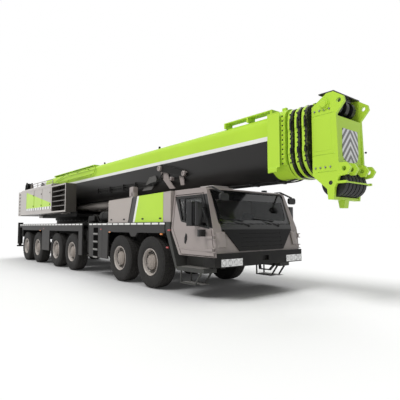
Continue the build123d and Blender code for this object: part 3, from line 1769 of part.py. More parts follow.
with BuildPart() as head_sheaves:
    cross_rod(chin_pin_x, chin_pin_z, chin_pin_radius, -head_half, head_half)
    for index in range(sheave_count):
        y = (index - (sheave_count - 1) / 2) * sheave_pitch
        cross_rod(chin_pin_x, chin_pin_z, sheave_radius, y - sheave_width / 2, y + sheave_width / 2)
save(head_sheaves.part, "head_sheaves")

# ================================================================ luffing ram
ram_angle = atan2(ram_eye_z - ram_foot_z, ram_eye_x - ram_foot_x)
ram_length = hypot(ram_eye_z - ram_foot_z, ram_eye_x - ram_foot_x)
ram_axis = Plane(
    origin=(ram_foot_x, 0, ram_foot_z), x_dir=(0, 1, 0), z_dir=(cos(ram_angle), 0, sin(ram_angle))
)
bore_start = 400
rod_start = bore_start + 50


def ram_bar(start, end, radius, mode=Mode.ADD):
    """A round length on the ram's axis, in the running part."""
    with BuildSketch(ram_axis.offset(start)) as outline:
        Circle(radius)
    extrude(outline.sketch, amount=end - start, mode=mode)


with BuildPart() as ram_barrel:
    ram_bar(0, ram_barrel_length, ram_radius)
    ram_bar(ram_barrel_length - ram_head_length, ram_barrel_length, ram_head_radius)
    ram_bar(bore_start, ram_barrel_length + bore_overrun, rod_radius + rod_clearance, mode=Mode.SUBTRACT)
    cross_rod(ram_foot_x, ram_foot_z, ram_radius, -ram_eye_half_width, ram_eye_half_width)
    for side_name, side in sides:
        block(
            ram_foot_x - 300,
            ram_foot_x + 170,
            *across(side, ram_eye_half_width, ram_radius + bore_overrun),
            ram_foot_z - 300,
            ram_foot_z + 300,
            mode=Mode.SUBTRACT,
        )
    pin_reach = ram_eye_half_width + slide_gap + ram_lug_thickness
    cross_rod(ram_foot_x, ram_foot_z, ram_pin_radius, -pin_reach, pin_reach)
save(ram_barrel.part, "ram_barrel")

with BuildPart() as ram_rod:
    ram_bar(rod_start, ram_length, rod_radius)
    cross_rod(ram_eye_x, ram_eye_z, ram_eye_radius, -ram_eye_half_width, ram_eye_half_width)
save(ram_rod.part, "ram_rod")
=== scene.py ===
import bmesh
import bpy
import math
import random
from mathutils import Matrix, Vector


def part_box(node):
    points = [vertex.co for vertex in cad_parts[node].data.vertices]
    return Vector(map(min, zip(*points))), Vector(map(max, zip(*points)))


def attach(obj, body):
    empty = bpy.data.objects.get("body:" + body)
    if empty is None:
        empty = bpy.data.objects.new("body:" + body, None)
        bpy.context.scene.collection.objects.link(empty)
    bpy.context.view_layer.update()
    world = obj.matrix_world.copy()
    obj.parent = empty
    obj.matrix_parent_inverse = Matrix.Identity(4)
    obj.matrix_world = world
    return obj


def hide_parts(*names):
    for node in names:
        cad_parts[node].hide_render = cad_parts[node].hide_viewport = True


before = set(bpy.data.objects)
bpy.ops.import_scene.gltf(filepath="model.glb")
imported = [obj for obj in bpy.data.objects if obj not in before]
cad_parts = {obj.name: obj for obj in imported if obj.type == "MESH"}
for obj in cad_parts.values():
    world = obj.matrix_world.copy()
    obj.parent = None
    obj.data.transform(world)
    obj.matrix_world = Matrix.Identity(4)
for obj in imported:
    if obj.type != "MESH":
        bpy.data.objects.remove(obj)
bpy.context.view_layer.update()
print("frame loaded,", len(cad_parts), "nodes")

sides = {"right": -1, "left": 1}
finishes = {}
random.seed(6)


# modelling helpers, all on Blender's own operators
def clearPick():
    if bpy.context.object and bpy.context.object.mode != 'OBJECT':
        bpy.ops.object.mode_set(mode='OBJECT')
    bpy.ops.object.select_all(action='DESELECT')


def takeUp(piece):
    clearPick()
    piece.select_set(True)
    bpy.context.view_layer.objects.active = piece


def settle(name):
    # the new primitive keeps its place in its mesh, not in its object
    piece = bpy.context.object
    bpy.ops.object.transform_apply(location=True, rotation=True, scale=True)
    piece.name = name
    return piece


def middleOf(low, high):
    return [(a + b) / 2 for a, b in zip(low, high)]


def startBox(name, low, high):
    clearPick()
    bpy.ops.mesh.primitive_cube_add(size=1, location=middleOf(low, high))
    bpy.context.object.scale = [abs(b - a) for a, b in zip(low, high)]
    return settle(name)


def startRod(name, middle, radius, length, along='Z', sides=24):
    clearPick()
    turn = {'X': (0, math.pi / 2, 0), 'Y': (math.pi / 2, 0, 0), 'Z': (0, 0, 0)}[along]
    bpy.ops.mesh.primitive_cylinder_add(vertices=sides, radius=radius, depth=length, location=middle, rotation=turn)
    return settle(name)


def openEdit(piece, kind='FACE'):
    takeUp(piece)
    bpy.ops.object.mode_set(mode='EDIT')
    bpy.ops.mesh.select_mode(type=kind)
    bpy.ops.mesh.select_all(action='DESELECT')


def closeEdit():
    bpy.ops.object.mode_set(mode='OBJECT')


def pickAll():
    bpy.ops.mesh.select_all(action='SELECT')


def faceOut():
    pickAll()
    bpy.ops.mesh.normals_make_consistent(inside=False)


def pickFaces(piece, test):
    # in edit mode: picks only the faces whose middle and normal pass the test
    mesh = bmesh.from_edit_mesh(piece.data)
    for face in mesh.faces:
        face.select_set(False)
    for face in mesh.faces:
        if test(face.calc_center_median(), face.normal):
            face.select_set(True)
    bmesh.update_edit_mesh(piece.data)


def facing(axis, side=1, limit=0.9):
    # a test for the faces that look along one axis
    number = 'xyz'.index(axis)
    return lambda spot, out: out[number] * side > limit


def inset(thickness, depth=0.0, single=False):
    bpy.ops.mesh.inset(thickness=thickness, depth=depth, use_individual=single)


def pullOut(by):
    bpy.ops.mesh.extrude_region_move(TRANSFORM_OT_translate={"value": by})


def insetPick(piece, test, thickness, depth, single=False, pull=None):
    # picks faces and sinks or raises them inside a rim, then pulls them on if asked
    openEdit(piece)
    pickFaces(piece, test)
    inset(thickness, depth, single)
    if pull:
        pullOut(pull)
    closeEdit()
    return piece


def startLine(name, points):
    # one vertex pulled from point to point, left in edit mode with all of it picked
    clearPick()
    bpy.ops.mesh.primitive_plane_add(size=0.01, location=points[0])
    piece = settle(name)
    openEdit(piece, 'VERT')
    pickAll()
    bpy.ops.mesh.merge(type='CENTER')
    for a, b in zip(points, points[1:]):
        bpy.ops.mesh.extrude_vertices_move(TRANSFORM_OT_translate={"value": [q - p for p, q in zip(a, b)]})
    pickAll()
    return piece


def traceOutline(name, points, by=None):
    # a line closed, filled and, if asked, thickened
    piece = startLine(name, points)
    bpy.ops.mesh.edge_face_add()
    if by:
        pickAll()
        pullOut(by)
        faceOut()
    closeEdit()
    return piece


def spinProfile(name, profile, middle, steps, closed=False):
    # a section of (offset along Y, radius) points, spun about the Y line through middle
    x, y, z = middle
    run = list(profile) + ([profile[0]] if closed else [])
    piece = startLine(name, [(x, y + along, z + radius) for along, radius in run])
    bpy.ops.mesh.spin(steps=steps, angle=2 * math.pi, center=middle, axis=(0, 1, 0), dupli=False)
    pickAll()
    bpy.ops.mesh.remove_doubles(threshold=0.0004)
    faceOut()
    closeEdit()
    return piece


def applyStep(piece, kind, **settings):
    takeUp(piece)
    step = piece.modifiers.new("step", kind)
    for key, value in settings.items():
        setattr(step, key, value)
    bpy.ops.object.modifier_apply(modifier="step")
    return piece


def soften(piece, width, segments=2, angle=35):
    return applyStep(piece, 'BEVEL', width=width, segments=segments, limit_method='ANGLE',
                     angle_limit=math.radians(angle))


def smoothOver(piece, angle=35):
    takeUp(piece)
    bpy.ops.object.shade_smooth_by_angle(angle=math.radians(angle))
    return piece


def joinUp(name, parts):
    clearPick()
    for part in parts:
        part.select_set(True)
    bpy.context.view_layer.objects.active = parts[0]
    if len(parts) > 1:
        bpy.ops.object.join()
    parts[0].name = name
    return parts[0]


def copyTo(master, name, place, flip=False):
    # a copy with its own mesh, moved in the mesh itself
    piece = master.copy()
    piece.data = master.data.copy()
    piece.data.transform(place)
    if flip:
        piece.data.flip_normals()
    piece.name = name
    bpy.context.collection.objects.link(piece)
    return piece


def dropPiece(piece):
    mesh = piece.data
    bpy.data.objects.remove(piece)
    bpy.data.meshes.remove(mesh)


def spread(name, master, places):
    parts = [copyTo(master, name, place) for place in places]
    dropPiece(master)
    return joinUp(name, parts)


def dress(piece, body, finish, stands=()):
    # finish is a name in finishes; without one the piece keeps what it wears
    if finish:
        piece.data.materials.clear()
        piece.data.materials.append(finishes[finish])
    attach(piece, body)
    if stands:
        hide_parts(*stands)
    return piece


def dressAll(name, parts, body, finish, stands=()):
    return dress(joinUp(name, parts), body, finish, stands)


def plaque(name, low, high, test, rim, depth, edge=0.0, pull=None):
    # a box with one face inset, and its edges softened if asked
    piece = insetPick(startBox(name, low, high), test, rim, depth, pull=pull)
    return soften(piece, edge) if edge else piece


def sidePlaque(name, side, low, high, rim, depth, edge=0.0):
    # drawn for the left flank, its outer face inset
    low, high = ((x, side * y, z) for x, y, z in (low, high))
    return plaque(name, low, high, facing('y', side), rim, depth, edge)


def atX(x, points):
    return [(x, y, z) for y, z in points]


def atY(y, points):
    return [(x, y, z) for x, z in points]


def atZ(base, points):
    return [(x, y, base + z) for x, y, z in points]


def cordRun(name, points, radius):
    # a bent pipe or hose along a smooth line, made a mesh at once
    line = bpy.data.curves.new(name, 'CURVE')
    line.dimensions = '3D'
    run = line.splines.new('NURBS')
    run.points.add(len(points) - 1)
    for knot, point in zip(run.points, points):
        knot.co = (*point, 1)
    run.order_u = 3
    run.use_endpoint_u = True
    line.bevel_depth = radius
    line.bevel_resolution = 1
    line.use_fill_caps = True
    line.resolution_u = 6
    piece = bpy.data.objects.new(name, line)
    bpy.context.collection.objects.link(piece)
    takeUp(piece)
    bpy.ops.object.convert(target='MESH')
    piece = bpy.context.object
    piece.name = name
    openEdit(piece)
    pickAll()
    bpy.ops.mesh.remove_doubles(threshold=0.0002)
    faceOut()
    closeEdit()
    return smoothOver(piece, 50)


def grow(points, by):
    # a flat convex outline of (across, up) points moved outwards by one distance
    turn = sum(a[0] * b[1] - b[0] * a[1] for a, b in zip(points, points[1:] + points[:1]))
    lines = []
    for a, b in zip(points, points[1:] + points[:1]):
        run = Vector((b[0] - a[0], b[1] - a[1])).normalized()
        out = Vector((run.y, -run.x)) * (by if turn > 0 else -by)
        lines.append((Vector(a) + out, run))
    grown = []
    for (startA, runA), (startB, runB) in zip(lines[-1:] + lines[:-1], lines):
        reach = (startB - startA).cross(runB) / runA.cross(runB)
        grown.append(tuple(startA + runA * reach))
    return grown


def traceRing(name, outer, inner, by):
    # two closed lines bridged into a flat frame, then thickened
    parts = []
    for points in (outer, inner):
        part = traceOutline(name, points)
        openEdit(part)
        pickAll()
        bpy.ops.mesh.delete(type='ONLY_FACE')
        closeEdit()
        parts.append(part)
    piece = joinUp(name, parts)
    openEdit(piece, 'EDGE')
    pickAll()
    bpy.ops.mesh.bridge_edge_loops()
    pickAll()
    pullOut(by)
    faceOut()
    closeEdit()
    return piece


def traceSeal(name, hole, outer, inner, lay, depth, by):
    # a frame along a hole's edge, laid at x or at y
    return traceRing(name, lay(depth, grow(hole, outer)), lay(depth, grow(hole, inner)), by)


def moveEach(piece, toPlace):
    # puts every point where the rule says, and turns the faces outwards again
    for vertex in piece.data.vertices:
        vertex.co = toPlace(vertex.co)
    openEdit(piece)
    faceOut()
    closeEdit()
    return piece


def mirrored(piece):
    return moveEach(piece, lambda p: (p.x, -p.y, p.z))


def moveTo(*spot):
    return Matrix.Translation(spot)


def boltRow(name, spots, body, finish, radius, height, turn):
    # hexagon heads on washers that stand up from z = 0, then turned about X
    washer = startRod("bolt", (0, 0, height * 0.12), radius * 1.35, height * 0.24, 'Z', 12)
    head = startRod("bolt", (0, 0, height * 0.6), radius, height * 0.8, 'Z', 6)
    insetPick(head, facing('z'), radius * 0.2, height * 0.12)
    bolt = joinUp("bolt", [washer, head])
    bolt.data.transform(Matrix.Rotation(turn, 4, 'X'))
    dress(spread(name, bolt, [moveTo(*spot) for spot in spots]), body, finish)


def treadPlate(low, high, columns, rows):
    # a flat plate with a field of raised grips
    clearPick()
    middle = middleOf(low, high)
    wide, deep, thick = (b - a for a, b in zip(low, high))
    bpy.ops.mesh.primitive_grid_add(x_subdivisions=columns, y_subdivisions=rows, size=1,
                                    location=(middle[0], middle[1], high[2]))
    bpy.context.object.scale = (wide, deep, 1)
    plate = settle("tread")
    openEdit(plate)
    pickAll()
    inset(min(wide / columns, deep / rows) * 0.22, 0.004, True)
    closeEdit()
    return applyStep(plate, 'SOLIDIFY', thickness=thick, offset=-1)


# node helpers: numbers and colours are set on the socket, node values are linked
def feed(socket, value):
    if isinstance(value, nodeValue):
        value.tree.links.new(value.socket, socket)
    elif isinstance(value, (tuple, list)):
        socket.default_value = (*value[:3], 1)
    elif value is not None:
        socket.default_value = value


def feedAll(sockets, values):
    for label, value in values.items():
        feed(sockets[label], value)


def fromNode(tree, kind, output=0, feeds=None, **settings):
    node = tree.nodes.new(kind)
    for key, value in settings.items():
        setattr(node, key, value)
    feedAll(node.inputs, feeds or {})
    return nodeValue(node.outputs[output])


class nodeValue:
    # an output in a node tree; arithmetic on it adds the nodes for it
    def __init__(self, socket):
        self.socket = socket
        self.tree = socket.id_data

    def reckon(self, kind, a, b=None, clamp=False):
        return fromNode(self.tree, 'ShaderNodeMath', 0, {0: a, 1: b}, operation=kind, use_clamp=clamp)

    def __add__(self, other):
        return self.reckon('ADD', self, other)

    def __sub__(self, other):
        return self.reckon('SUBTRACT', self, other)

    def __rsub__(self, other):
        return self.reckon('SUBTRACT', other, self)

    def __mul__(self, other):
        return self.reckon('MULTIPLY', self, other)

    def __mod__(self, other):
        return self.reckon('MODULO', self, other)

    def __abs__(self):
        return self.reckon('ABSOLUTE', self)


def larger(a, b):
    return a.reckon('MAXIMUM', a, b)


def smaller(a, b):
    return a.reckon('MINIMUM', a, b)


def ramp(value, low, high, toLow=0.0, toHigh=1.0):
    return fromNode(value.tree, 'ShaderNodeMapRange', 'Result', {
        'Value': value, 'From Min': low, 'From Max': high, 'To Min': toLow, 'To Max': toHigh}, clamp=True)


def above(value, limit, soft=0.004):
    return ramp(value, limit - soft, limit + soft)


def between(value, low, high, soft=0.004):
    return above(value, low, soft) * ramp(value, high - soft, high + soft, 1.0, 0.0)


def mixColours(mask, under, over):
    return fromNode(mask.tree, 'ShaderNodeMix', 2, {0: mask, 6: under, 7: over}, data_type='RGBA')


def speckle(place, scale, detail=3.0, rough=0.55):
    return fromNode(place.tree, 'ShaderNodeTexNoise', 'Fac', {
        'Vector': place, 'Scale': scale, 'Detail': detail, 'Roughness': rough})


def splitUp(vector):
    node = vector.tree.nodes.new('ShaderNodeSeparateXYZ')
    feed(node.inputs[0], vector)
    return [nodeValue(output) for output in node.outputs]


def placeIn(tree):
    return fromNode(tree, 'ShaderNodeTexCoord', 'Object')


def startGroup(name, takes, gives):
    group = bpy.data.node_groups.new(name, 'ShaderNodeTree')
    for way, labels in (('INPUT', takes), ('OUTPUT', gives)):
        for label, kind in labels.items():
            group.interface.new_socket(name=label, in_out=way, socket_type='NodeSocket' + kind)
    inlet = group.nodes.new('NodeGroupInput')
    outlet = group.nodes.new('NodeGroupOutput')
    return group, {label: nodeValue(inlet.outputs[label]) for label in takes}, outlet.inputs


def useGroup(tree, group, **values):
    node = tree.nodes.new('ShaderNodeGroup')
    node.node_tree = group
    feedAll(node.inputs, values)
    return [nodeValue(output) for output in node.outputs]


def makeRoadDust():
    # dust that settles on flat tops and splashes up from the road
    group, takes, gives = startGroup(
        "roadDust", {"Paint": 'Color', "Dust": 'Color', "Top": 'Float', "Splash": 'Float', "Settled": 'Float'},
        {"Colour": 'Color', "Mask": 'Float'})
    place = placeIn(group)
    splash = ramp(splitUp(place)[2], takes["Top"], 0.1) * takes["Splash"]
    normal = fromNode(group, 'ShaderNodeNewGeometry', 'Normal')
    settled = ramp(splitUp(normal)[2], 0.55, 1.0) * takes["Settled"]
    cloud = ramp(speckle(place, 2.3, 5), 0.36, 0.68, 0.25, 1.0)
    fine = ramp(speckle(place, 34, 3), 0.35, 0.75, 0.6, 1.0)
    dusty = splash.reckon('ADD', splash, settled, clamp=True)
    mask = dusty.reckon('MULTIPLY', dusty * cloud, fine, clamp=True)
    feedAll(gives, {"Colour": mixColours(mask, takes["Paint"], takes["Dust"]), "Mask": mask})
    return group


def makeEdgeWear():
    # rubbed corners, found where the rounded normal leaves the face's own
    group, takes, gives = startGroup(
        "edgeWear", {"Paint": 'Color', "Bare": 'Color', "Width": 'Float', "Amount": 'Float'},
        {"Colour": 'Color', "Mask": 'Float'})
    rounded = fromNode(group, 'ShaderNodeBevel', 0, {'Radius': takes["Width"]}, samples=4)
    plain = fromNode(group, 'ShaderNodeNewGeometry', 'Normal')
    turn = fromNode(group, 'ShaderNodeVectorMath', 'Value', {0: rounded, 1: plain}, operation='DOT_PRODUCT')
    patch = ramp(speckle(placeIn(group), 11, 6, 0.7), 0.48, 0.62)
    mask = turn.reckon('MULTIPLY', ramp(turn, 0.995, 0.82) * patch, takes["Amount"], clamp=True)
    feedAll(gives, {"Colour": mixColours(mask, takes["Paint"], takes["Bare"]), "Mask": mask})
    return group


def makePaintSkin():
    # the slight waviness of plate and the fine skin of sprayed paint, as a height
    group, takes, gives = startGroup("paintSkin", {"Fine": 'Float', "Wave": 'Float'}, {"Height": 'Float'})
    place = placeIn(group)
    feed(gives["Height"], speckle(place, 90, 2) * takes["Fine"] + speckle(place, 1.6, 1) * takes["Wave"])
    return group


def makeTone():
    # slow change of shade over a large painted face
    group, takes, gives = startGroup("paintTone", {"Paint": 'Color', "Swing": 'Float'}, {"Colour": 'Color'})
    swing = (speckle(placeIn(group), 0.9, 3) - 0.5) * takes["Swing"]
    feed(gives["Colour"], fromNode(group, 'ShaderNodeHueSaturation', 'Color', {
        'Value': swing + 1.0, 'Color': takes["Paint"]}))
    return group


roadDust = makeRoadDust()
edgeWear = makeEdgeWear()
paintSkin = makePaintSkin()
paintTone = makeTone()
dustColour = (0.34, 0.31, 0.27)
bareColour = (0.20, 0.19, 0.18)


def startFinish(name):
    finish = bpy.data.materials.new(name)
    finish.use_nodes = True
    finishes[name] = finish
    return finish.node_tree, finish.node_tree.nodes["Principled BSDF"].inputs


def addBump(tree, shader, height, strength, distance):
    feed(shader['Normal'], fromNode(tree, 'ShaderNodeBump', 'Normal', {
        'Strength': strength, 'Distance': distance, 'Height': height}))


def paintFinish(name, colour, pattern=None, rough=0.38, coat=0.25, splash=0.5, top=1.3, settled=0.35,
                wear=0.5, fine=0.25, wave=0.4, metal=0.0, shine=0.5):
    # machine paint: colour or pattern, tone, dust, rubbed edges, skin
    tree, shader = startFinish(name)
    if pattern:
        colour = pattern(colour, *splitUp(placeIn(tree)))
    tone = useGroup(tree, paintTone, Paint=colour, Swing=0.16)[0]
    worn = useGroup(tree, edgeWear, Paint=tone, Bare=bareColour, Width=0.008, Amount=wear)[0]
    dusty, mask = useGroup(tree, roadDust, Paint=worn, Dust=dustColour, Top=top, Splash=splash, Settled=settled)
    feedAll(shader, {
        'Base Color': dusty, 'Roughness': ramp(mask, 0.0, 1.0, rough, min(0.95, rough + 0.4)), 'Metallic': metal,
        'Coat Weight': coat, 'Coat Roughness': 0.12, 'Specular IOR Level': shine})
    addBump(tree, shader, useGroup(tree, paintSkin, Fine=fine, Wave=wave)[0], 0.35, 0.004)


paints = {
    "lime": (0.43, 0.66, 0.045), "taupe": (0.285, 0.247, 0.235), "stone": (0.42, 0.39, 0.365),
    "black": (0.006, 0.006, 0.0062), "boomDark": (0.016, 0.0152, 0.0148), "white": (0.74, 0.74, 0.72),
}
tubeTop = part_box("boom_tele_1")[1][2]
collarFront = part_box("boom_base")[1][0]
boom = {"collarRear": collarFront - 0.45, "half": 0.54, "lineLow": tubeTop - 0.655, "lineHigh": tubeTop - 0.560}


def boomPattern(colour, x, y, z):
    # lime above, a white line, dark below; the collar is lime, the flank plates taupe
    dark = mixColours(above(z, boom["lineLow"]), paints["boomDark"], paints["white"])
    flank = mixColours(above(z, boom["lineHigh"]), dark, colour)
    plates = mixColours(above(abs(y), boom["half"] + 0.004, 0.001), flank, paints["taupe"])
    return mixColours(above(x, boom["collarRear"]), plates, colour)


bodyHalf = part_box("engine_housing")[1][1]  # the cab's sides stand in the same plane
glassLow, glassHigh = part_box("cab_glass")
cabLow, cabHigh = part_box("carrier_cab")
cab = {
    "roof": glassHigh[2] + 0.075, "roofFront": cabHigh[0] - 0.45, "sill": glassLow[2] - 0.075,
    "sillFront": cabHigh[0] - 0.11, "foot": cabLow[2], "footFront": cabHigh[0], "waist": glassLow[2] - 0.135,
    "lean": 0.1134, "screenHalf": 1.215, "windowRear": 6.055, "windowLow": 2.490, "windowHigh": 2.315,
}


def cabPattern(colour, x, y, z):
    # black round the windscreen down to the grille, black round the side windows
    out = abs(y)
    # how far a point stands ahead of the windscreen's slope
    slope = (cab["sillFront"] - cab["roofFront"]) / (cab["roof"] - cab["sill"])
    depth = x - cab["roofFront"] - (cab["roof"] - z) * slope
    inside = above((z - cab["sill"]) * 0.06 + cab["screenHalf"] - out, 0.0, 0.002)
    band = between(z, cab["waist"] - 0.02, cab["roof"] - 0.045, 0.002)
    front = above(depth, -0.035, 0.002) * (inside * band)
    skin = (bodyHalf - 0.045) - larger(z - cab["waist"], 0.0) * cab["lean"]
    rear = x + z * 0.537 - cab["windowRear"]
    low = z + x * 0.150 - cab["windowLow"]
    window = smaller(smaller(rear, low), smaller(cab["windowHigh"] - z, -0.012 - depth))
    side = above(out - skin, 0.0, 0.002) * above(window, 0.0, 0.002)
    dome = above(z, cab["roof"] + 0.004, 0.001)
    mirror = above(out, bodyHalf + 0.035, 0.001)
    dark = larger(larger(front, side), larger(mirror, dome * above(y, 0.9)))
    return mixColours(dark, mixColours(dome, colour, (0.43, 0.40, 0.385)), paints["black"])


def housingPattern(colour, x, y, z):
    # grey plate, dark leaning band, white line, lime plate, grey column
    lean = x - (z - 2.43) * 0.33
    shade = colour
    for value, start, fresh in ((lean, 2.88, (0.042, 0.040, 0.039)), (lean, 3.14, paints["white"]),
                                (lean, 3.24, paints["lime"]), (x, 4.425, colour)):
        shade = mixColours(above(value, start), shade, fresh)
    return mixColours(above(abs(y), bodyHalf - 0.025), colour, shade)


def dashes(x, pitch, low, high, gap):
    return mixColours(between((x + 40.0) % pitch, low, high, 0.003), paints["white"], gap)


def deckPattern(colour, x, y, z):
    # white and dark dashes along the deck's edge
    strip = between(z, 1.640, 1.685, 0.002) * above(abs(y), 1.49)
    return mixColours(strip, colour, dashes(x, 0.36, 0.0, 0.06, (0.03, 0.03, 0.03)))


boxLow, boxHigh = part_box("machinery_housing")
bay = {"front": boxHigh[0], "rear": boxHigh[0] - 1.65, "outer": -boxLow[1]}


def boxPattern(colour, x, y, z):
    # lime below a long slant on the side box, with a dashed white line under it
    slant = 3.23 - (x + 7.4) * 0.186
    field = between(x, -7.42, bay["rear"] - 0.03) * above(abs(y), 1.35)
    lime = field * (above(slant - z, 0.0, 0.006) * above(z, 2.44))
    strip = field * between(z, 2.33, 2.44, 0.003)
    shade = mixColours(strip, mixColours(lime, colour, paints["lime"]), dashes(x, 0.34, 0.22, 0.32, (0.10, 0.10, 0.10)))
    # the ladder bay's sunk faces are painted dark as painted shade in the recess, and the box's front is painted the
    # same dark
    sunk = 1.0 - above(abs(y), bay["outer"] - 0.006, 0.002)
    bayShade = larger(between(x, bay["rear"] + 0.03, bay["front"] - 0.03, 0.002) * sunk,
                   above(x, bay["front"] - 0.012, 0.002))
    return mixColours(bayShade * above(y * -1.0, 0.0), shade, (0.070, 0.062, 0.056))


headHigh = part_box("boom_tele_4")[1]


def headPattern(colour, x, y, z):
    # black guide sheaves and guard plate in the lime head
    out = abs(y)
    inner = above(0.418 - out, 0.0, 0.002) * between(z, 3.665, 4.2, 0.002) * between(x, 8.22, 8.70, 0.002)
    guard = above(z, headHigh[2] - 0.022, 0.001) * above(x, 8.26, 0.001)
    pinEnd = above(out, headHigh[1] - 0.03, 0.001) * between(z, 2.3, 2.5)
    return mixColours(larger(larger(inner, guard), pinEnd), colour, (0.012, 0.012, 0.012))


def ringPattern(front):
    # a speckled black wear strip behind a ring's front edge
    def pattern(colour, x, y, z):
        specks = above(speckle(placeIn(x.tree), 24, 2), 0.60, 0.02)
        shade = mixColours(specks, (0.010, 0.010, 0.010), (0.09, 0.11, 0.03))
        return mixColours(between(x, front - 0.055, front + 0.02, 0.0015), colour, shade)
    return pattern


def chevronPattern(colour, x, y, z):
    # pale and grey bands rising to a point on the middle line
    step = (z + abs(y) * 1.15) % 0.165
    return mixColours(between(step, 0.078, 0.163, 0.002), colour, (0.105, 0.108, 0.11))


dullCoat = dict(coat=0.0, shine=0.13, settled=0.06, splash=0.12)
wheelCoat = dict(splash=0.3, top=1.2, wave=0.0)
headCoat = dict(coat=0.1, settled=0.1, shine=0.3)
paintLooks = {
    "limePaint": (paints["lime"], headCoat),
    "boomPaint": (paints["lime"], dict(pattern=boomPattern, rough=0.45, coat=0.05, settled=0.1, shine=0.2)),
    "headPaint": (paints["lime"], dict(pattern=headPattern, **headCoat)),
    "taupePaint": (paints["taupe"], dict(rough=0.42, settled=0.2)),
    "cabPaint": (paints["taupe"], dict(pattern=cabPattern, rough=0.34, coat=0.2, splash=0.3, settled=0.15,
                                       shine=0.35)),
    "housingPaint": ((0.375, 0.335, 0.31), dict(pattern=housingPattern, rough=0.42, settled=0.15, coat=0.1,
                                                shine=0.3)),
    "boxPaint": (paints["stone"], dict(pattern=boxPattern, rough=0.42, settled=0.2, shine=0.35)),
    "weightPaint": (paints["stone"], dict(rough=0.5, settled=0.2)),
    "charcoalPaint": ((0.024, 0.023, 0.0225), dict(rough=0.5, **dullCoat)),
    "deckPaint": ((0.044, 0.0425, 0.042), dict(pattern=deckPattern, rough=0.5, **dullCoat)),
    "fenderPaint": ((0.050, 0.051, 0.048), dict(rough=0.45, **dullCoat)),
    "blackPaint": (paints["black"], dict(rough=0.42, wear=0.2, **dullCoat)),
    "gearPaint": ((0.012, 0.0115, 0.011), dict(rough=0.55, wear=0.4, **dullCoat)),
    "greyTrim": ((0.10, 0.097, 0.093), dict(rough=0.5, wear=0.3, **dullCoat)),
    "framePaint": ((0.014, 0.0135, 0.013), dict(rough=0.6, top=1.6, coat=0.0, shine=0.2, settled=0.2, splash=0.3)),
    "glossBlack": ((0.006, 0.006, 0.0065), dict(rough=0.12, coat=0.6, splash=0.2, settled=0.05, wear=0.0, fine=0.05,
                                                wave=0.1, shine=0.3)),
    # painted shade: near-black, dull plates stand for the shade in the ladder's step pockets
    "pocketDark": ((0.003, 0.003, 0.003), dict(rough=0.9, coat=0.0, splash=0.02, settled=0.0, wear=0.0, shine=0.02)),
    "rimPaint": ((0.40, 0.36, 0.33), dict(rough=0.45, coat=0.1, **wheelCoat)),
    # painted shade for the wheel's recessed dish behind the nuts
    "dishPaint": ((0.024, 0.021, 0.019), dict(rough=0.5, coat=0.0, **wheelCoat)),
    "nutPaint": ((0.11, 0.097, 0.087), dict(rough=0.5, coat=0.0, **wheelCoat)),
    "hubPaint": ((0.25, 0.212, 0.185), dict(rough=0.5, coat=0.1, **wheelCoat)),
    "steelPaint": ((0.24, 0.24, 0.235), dict(rough=0.4, splash=0.3, coat=0.0, metal=0.6)),
    "treadPaint": ((0.24, 0.235, 0.225), dict(rough=0.5, wear=0.8, splash=0.3, settled=0.1, coat=0.0, metal=0.4)),
    "ropeSteel": ((0.07, 0.068, 0.064), dict(rough=0.5, coat=0.0, metal=0.5, splash=0.1, wear=0.0)),
    "ramPaint": ((0.36, 0.33, 0.305), dict(rough=0.35, coat=0.3, settled=0.2)),
    "chevronPaint": ((0.66, 0.67, 0.68), dict(pattern=chevronPattern, rough=0.35, coat=0.3, wear=0.1, settled=0.1)),
}
for name, (colour, look) in paintLooks.items():
    paintFinish(name, colour, **look)
for number in (1, 2, 3):
    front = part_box(f"boom_tele_{number}")[1][0]
    paintFinish(f"ringPaint{number}", paints["lime"], ringPattern(front), **headCoat)


def grained(place, scale):
    return fromNode(place.tree, 'ShaderNodeTexVoronoi', 'Distance', {'Vector': place, 'Scale': scale})


def plasticFinish(name, colour, rough=0.6, scale=420):
    # grained moulding
    tree, shader = startFinish(name)
    dusty = useGroup(tree, roadDust, Paint=colour, Dust=dustColour, Top=1.2, Splash=0.18, Settled=0.22)[0]
    place = placeIn(tree)
    feedAll(shader, {'Base Color': dusty, 'Specular IOR Level': 0.35,
                     'Roughness': ramp(speckle(place, 7, 3), 0.3, 0.7, rough - 0.08, rough + 0.08)})
    addBump(tree, shader, grained(place, scale), 0.25, 0.001)


def rubberFinish(name):
    # tyre rubber with moulded rings on its wall, greyer where it wears and low down
    tree, shader = startFinish(name)
    place = fromNode(tree, 'ShaderNodeAttribute', 'Vector', attribute_name="wheelPlace")
    x, y, z = splitUp(place)
    square = x * x + z * z
    radius = square.reckon('SQRT', square)
    mottled = ramp(speckle(place, 5, 5), 0.35, 0.7)
    wall = mixColours(mottled, (0.0135, 0.013, 0.0125), (0.023, 0.022, 0.021))
    colour = mixColours(above(radius, 0.655, 0.012), wall, (0.034, 0.032, 0.030))
    dusty = useGroup(tree, roadDust, Paint=colour, Dust=(0.14, 0.13, 0.12), Top=0.9, Splash=0.12, Settled=0.05)[0]
    feedAll(shader, {'Base Color': dusty, 'Roughness': ramp(mottled, 0, 1, 0.62, 0.85), 'Specular IOR Level': 0.2})
    rings = radius.reckon('SINE', radius * 330.0) * between(radius, 0.37, 0.47, 0.01)
    addBump(tree, shader, rings + speckle(place, 120, 2) * 0.6, 0.4, 0.003)


def filmFinish(name, film, colour, aged, rough, more):
    # a base colour and a roughness that change with a faint film; film is (scale, detail, low, high)
    tree, shader = startFinish(name)
    place = placeIn(tree)
    mask = ramp(speckle(place, film[0], film[1]), film[2], film[3])
    feedAll(shader, {'Base Color': mixColours(mask, colour, aged), 'Roughness': ramp(mask, 0, 1, *rough), **more})
    return tree, shader, place


def lampFinish(name, colour, glow=0.0):
    # moulded lens with flutes
    tree, shader, place = filmFinish(name, (25, 2, 0.3, 0.7), colour, [c * 0.6 for c in colour], (0.08, 0.2),
                                     {'Coat Weight': 0.8, 'Metallic': glow})
    flutes = splitUp(place)[1] * 420.0
    addBump(tree, shader, flutes.reckon('SINE', flutes), 0.3, 0.002)


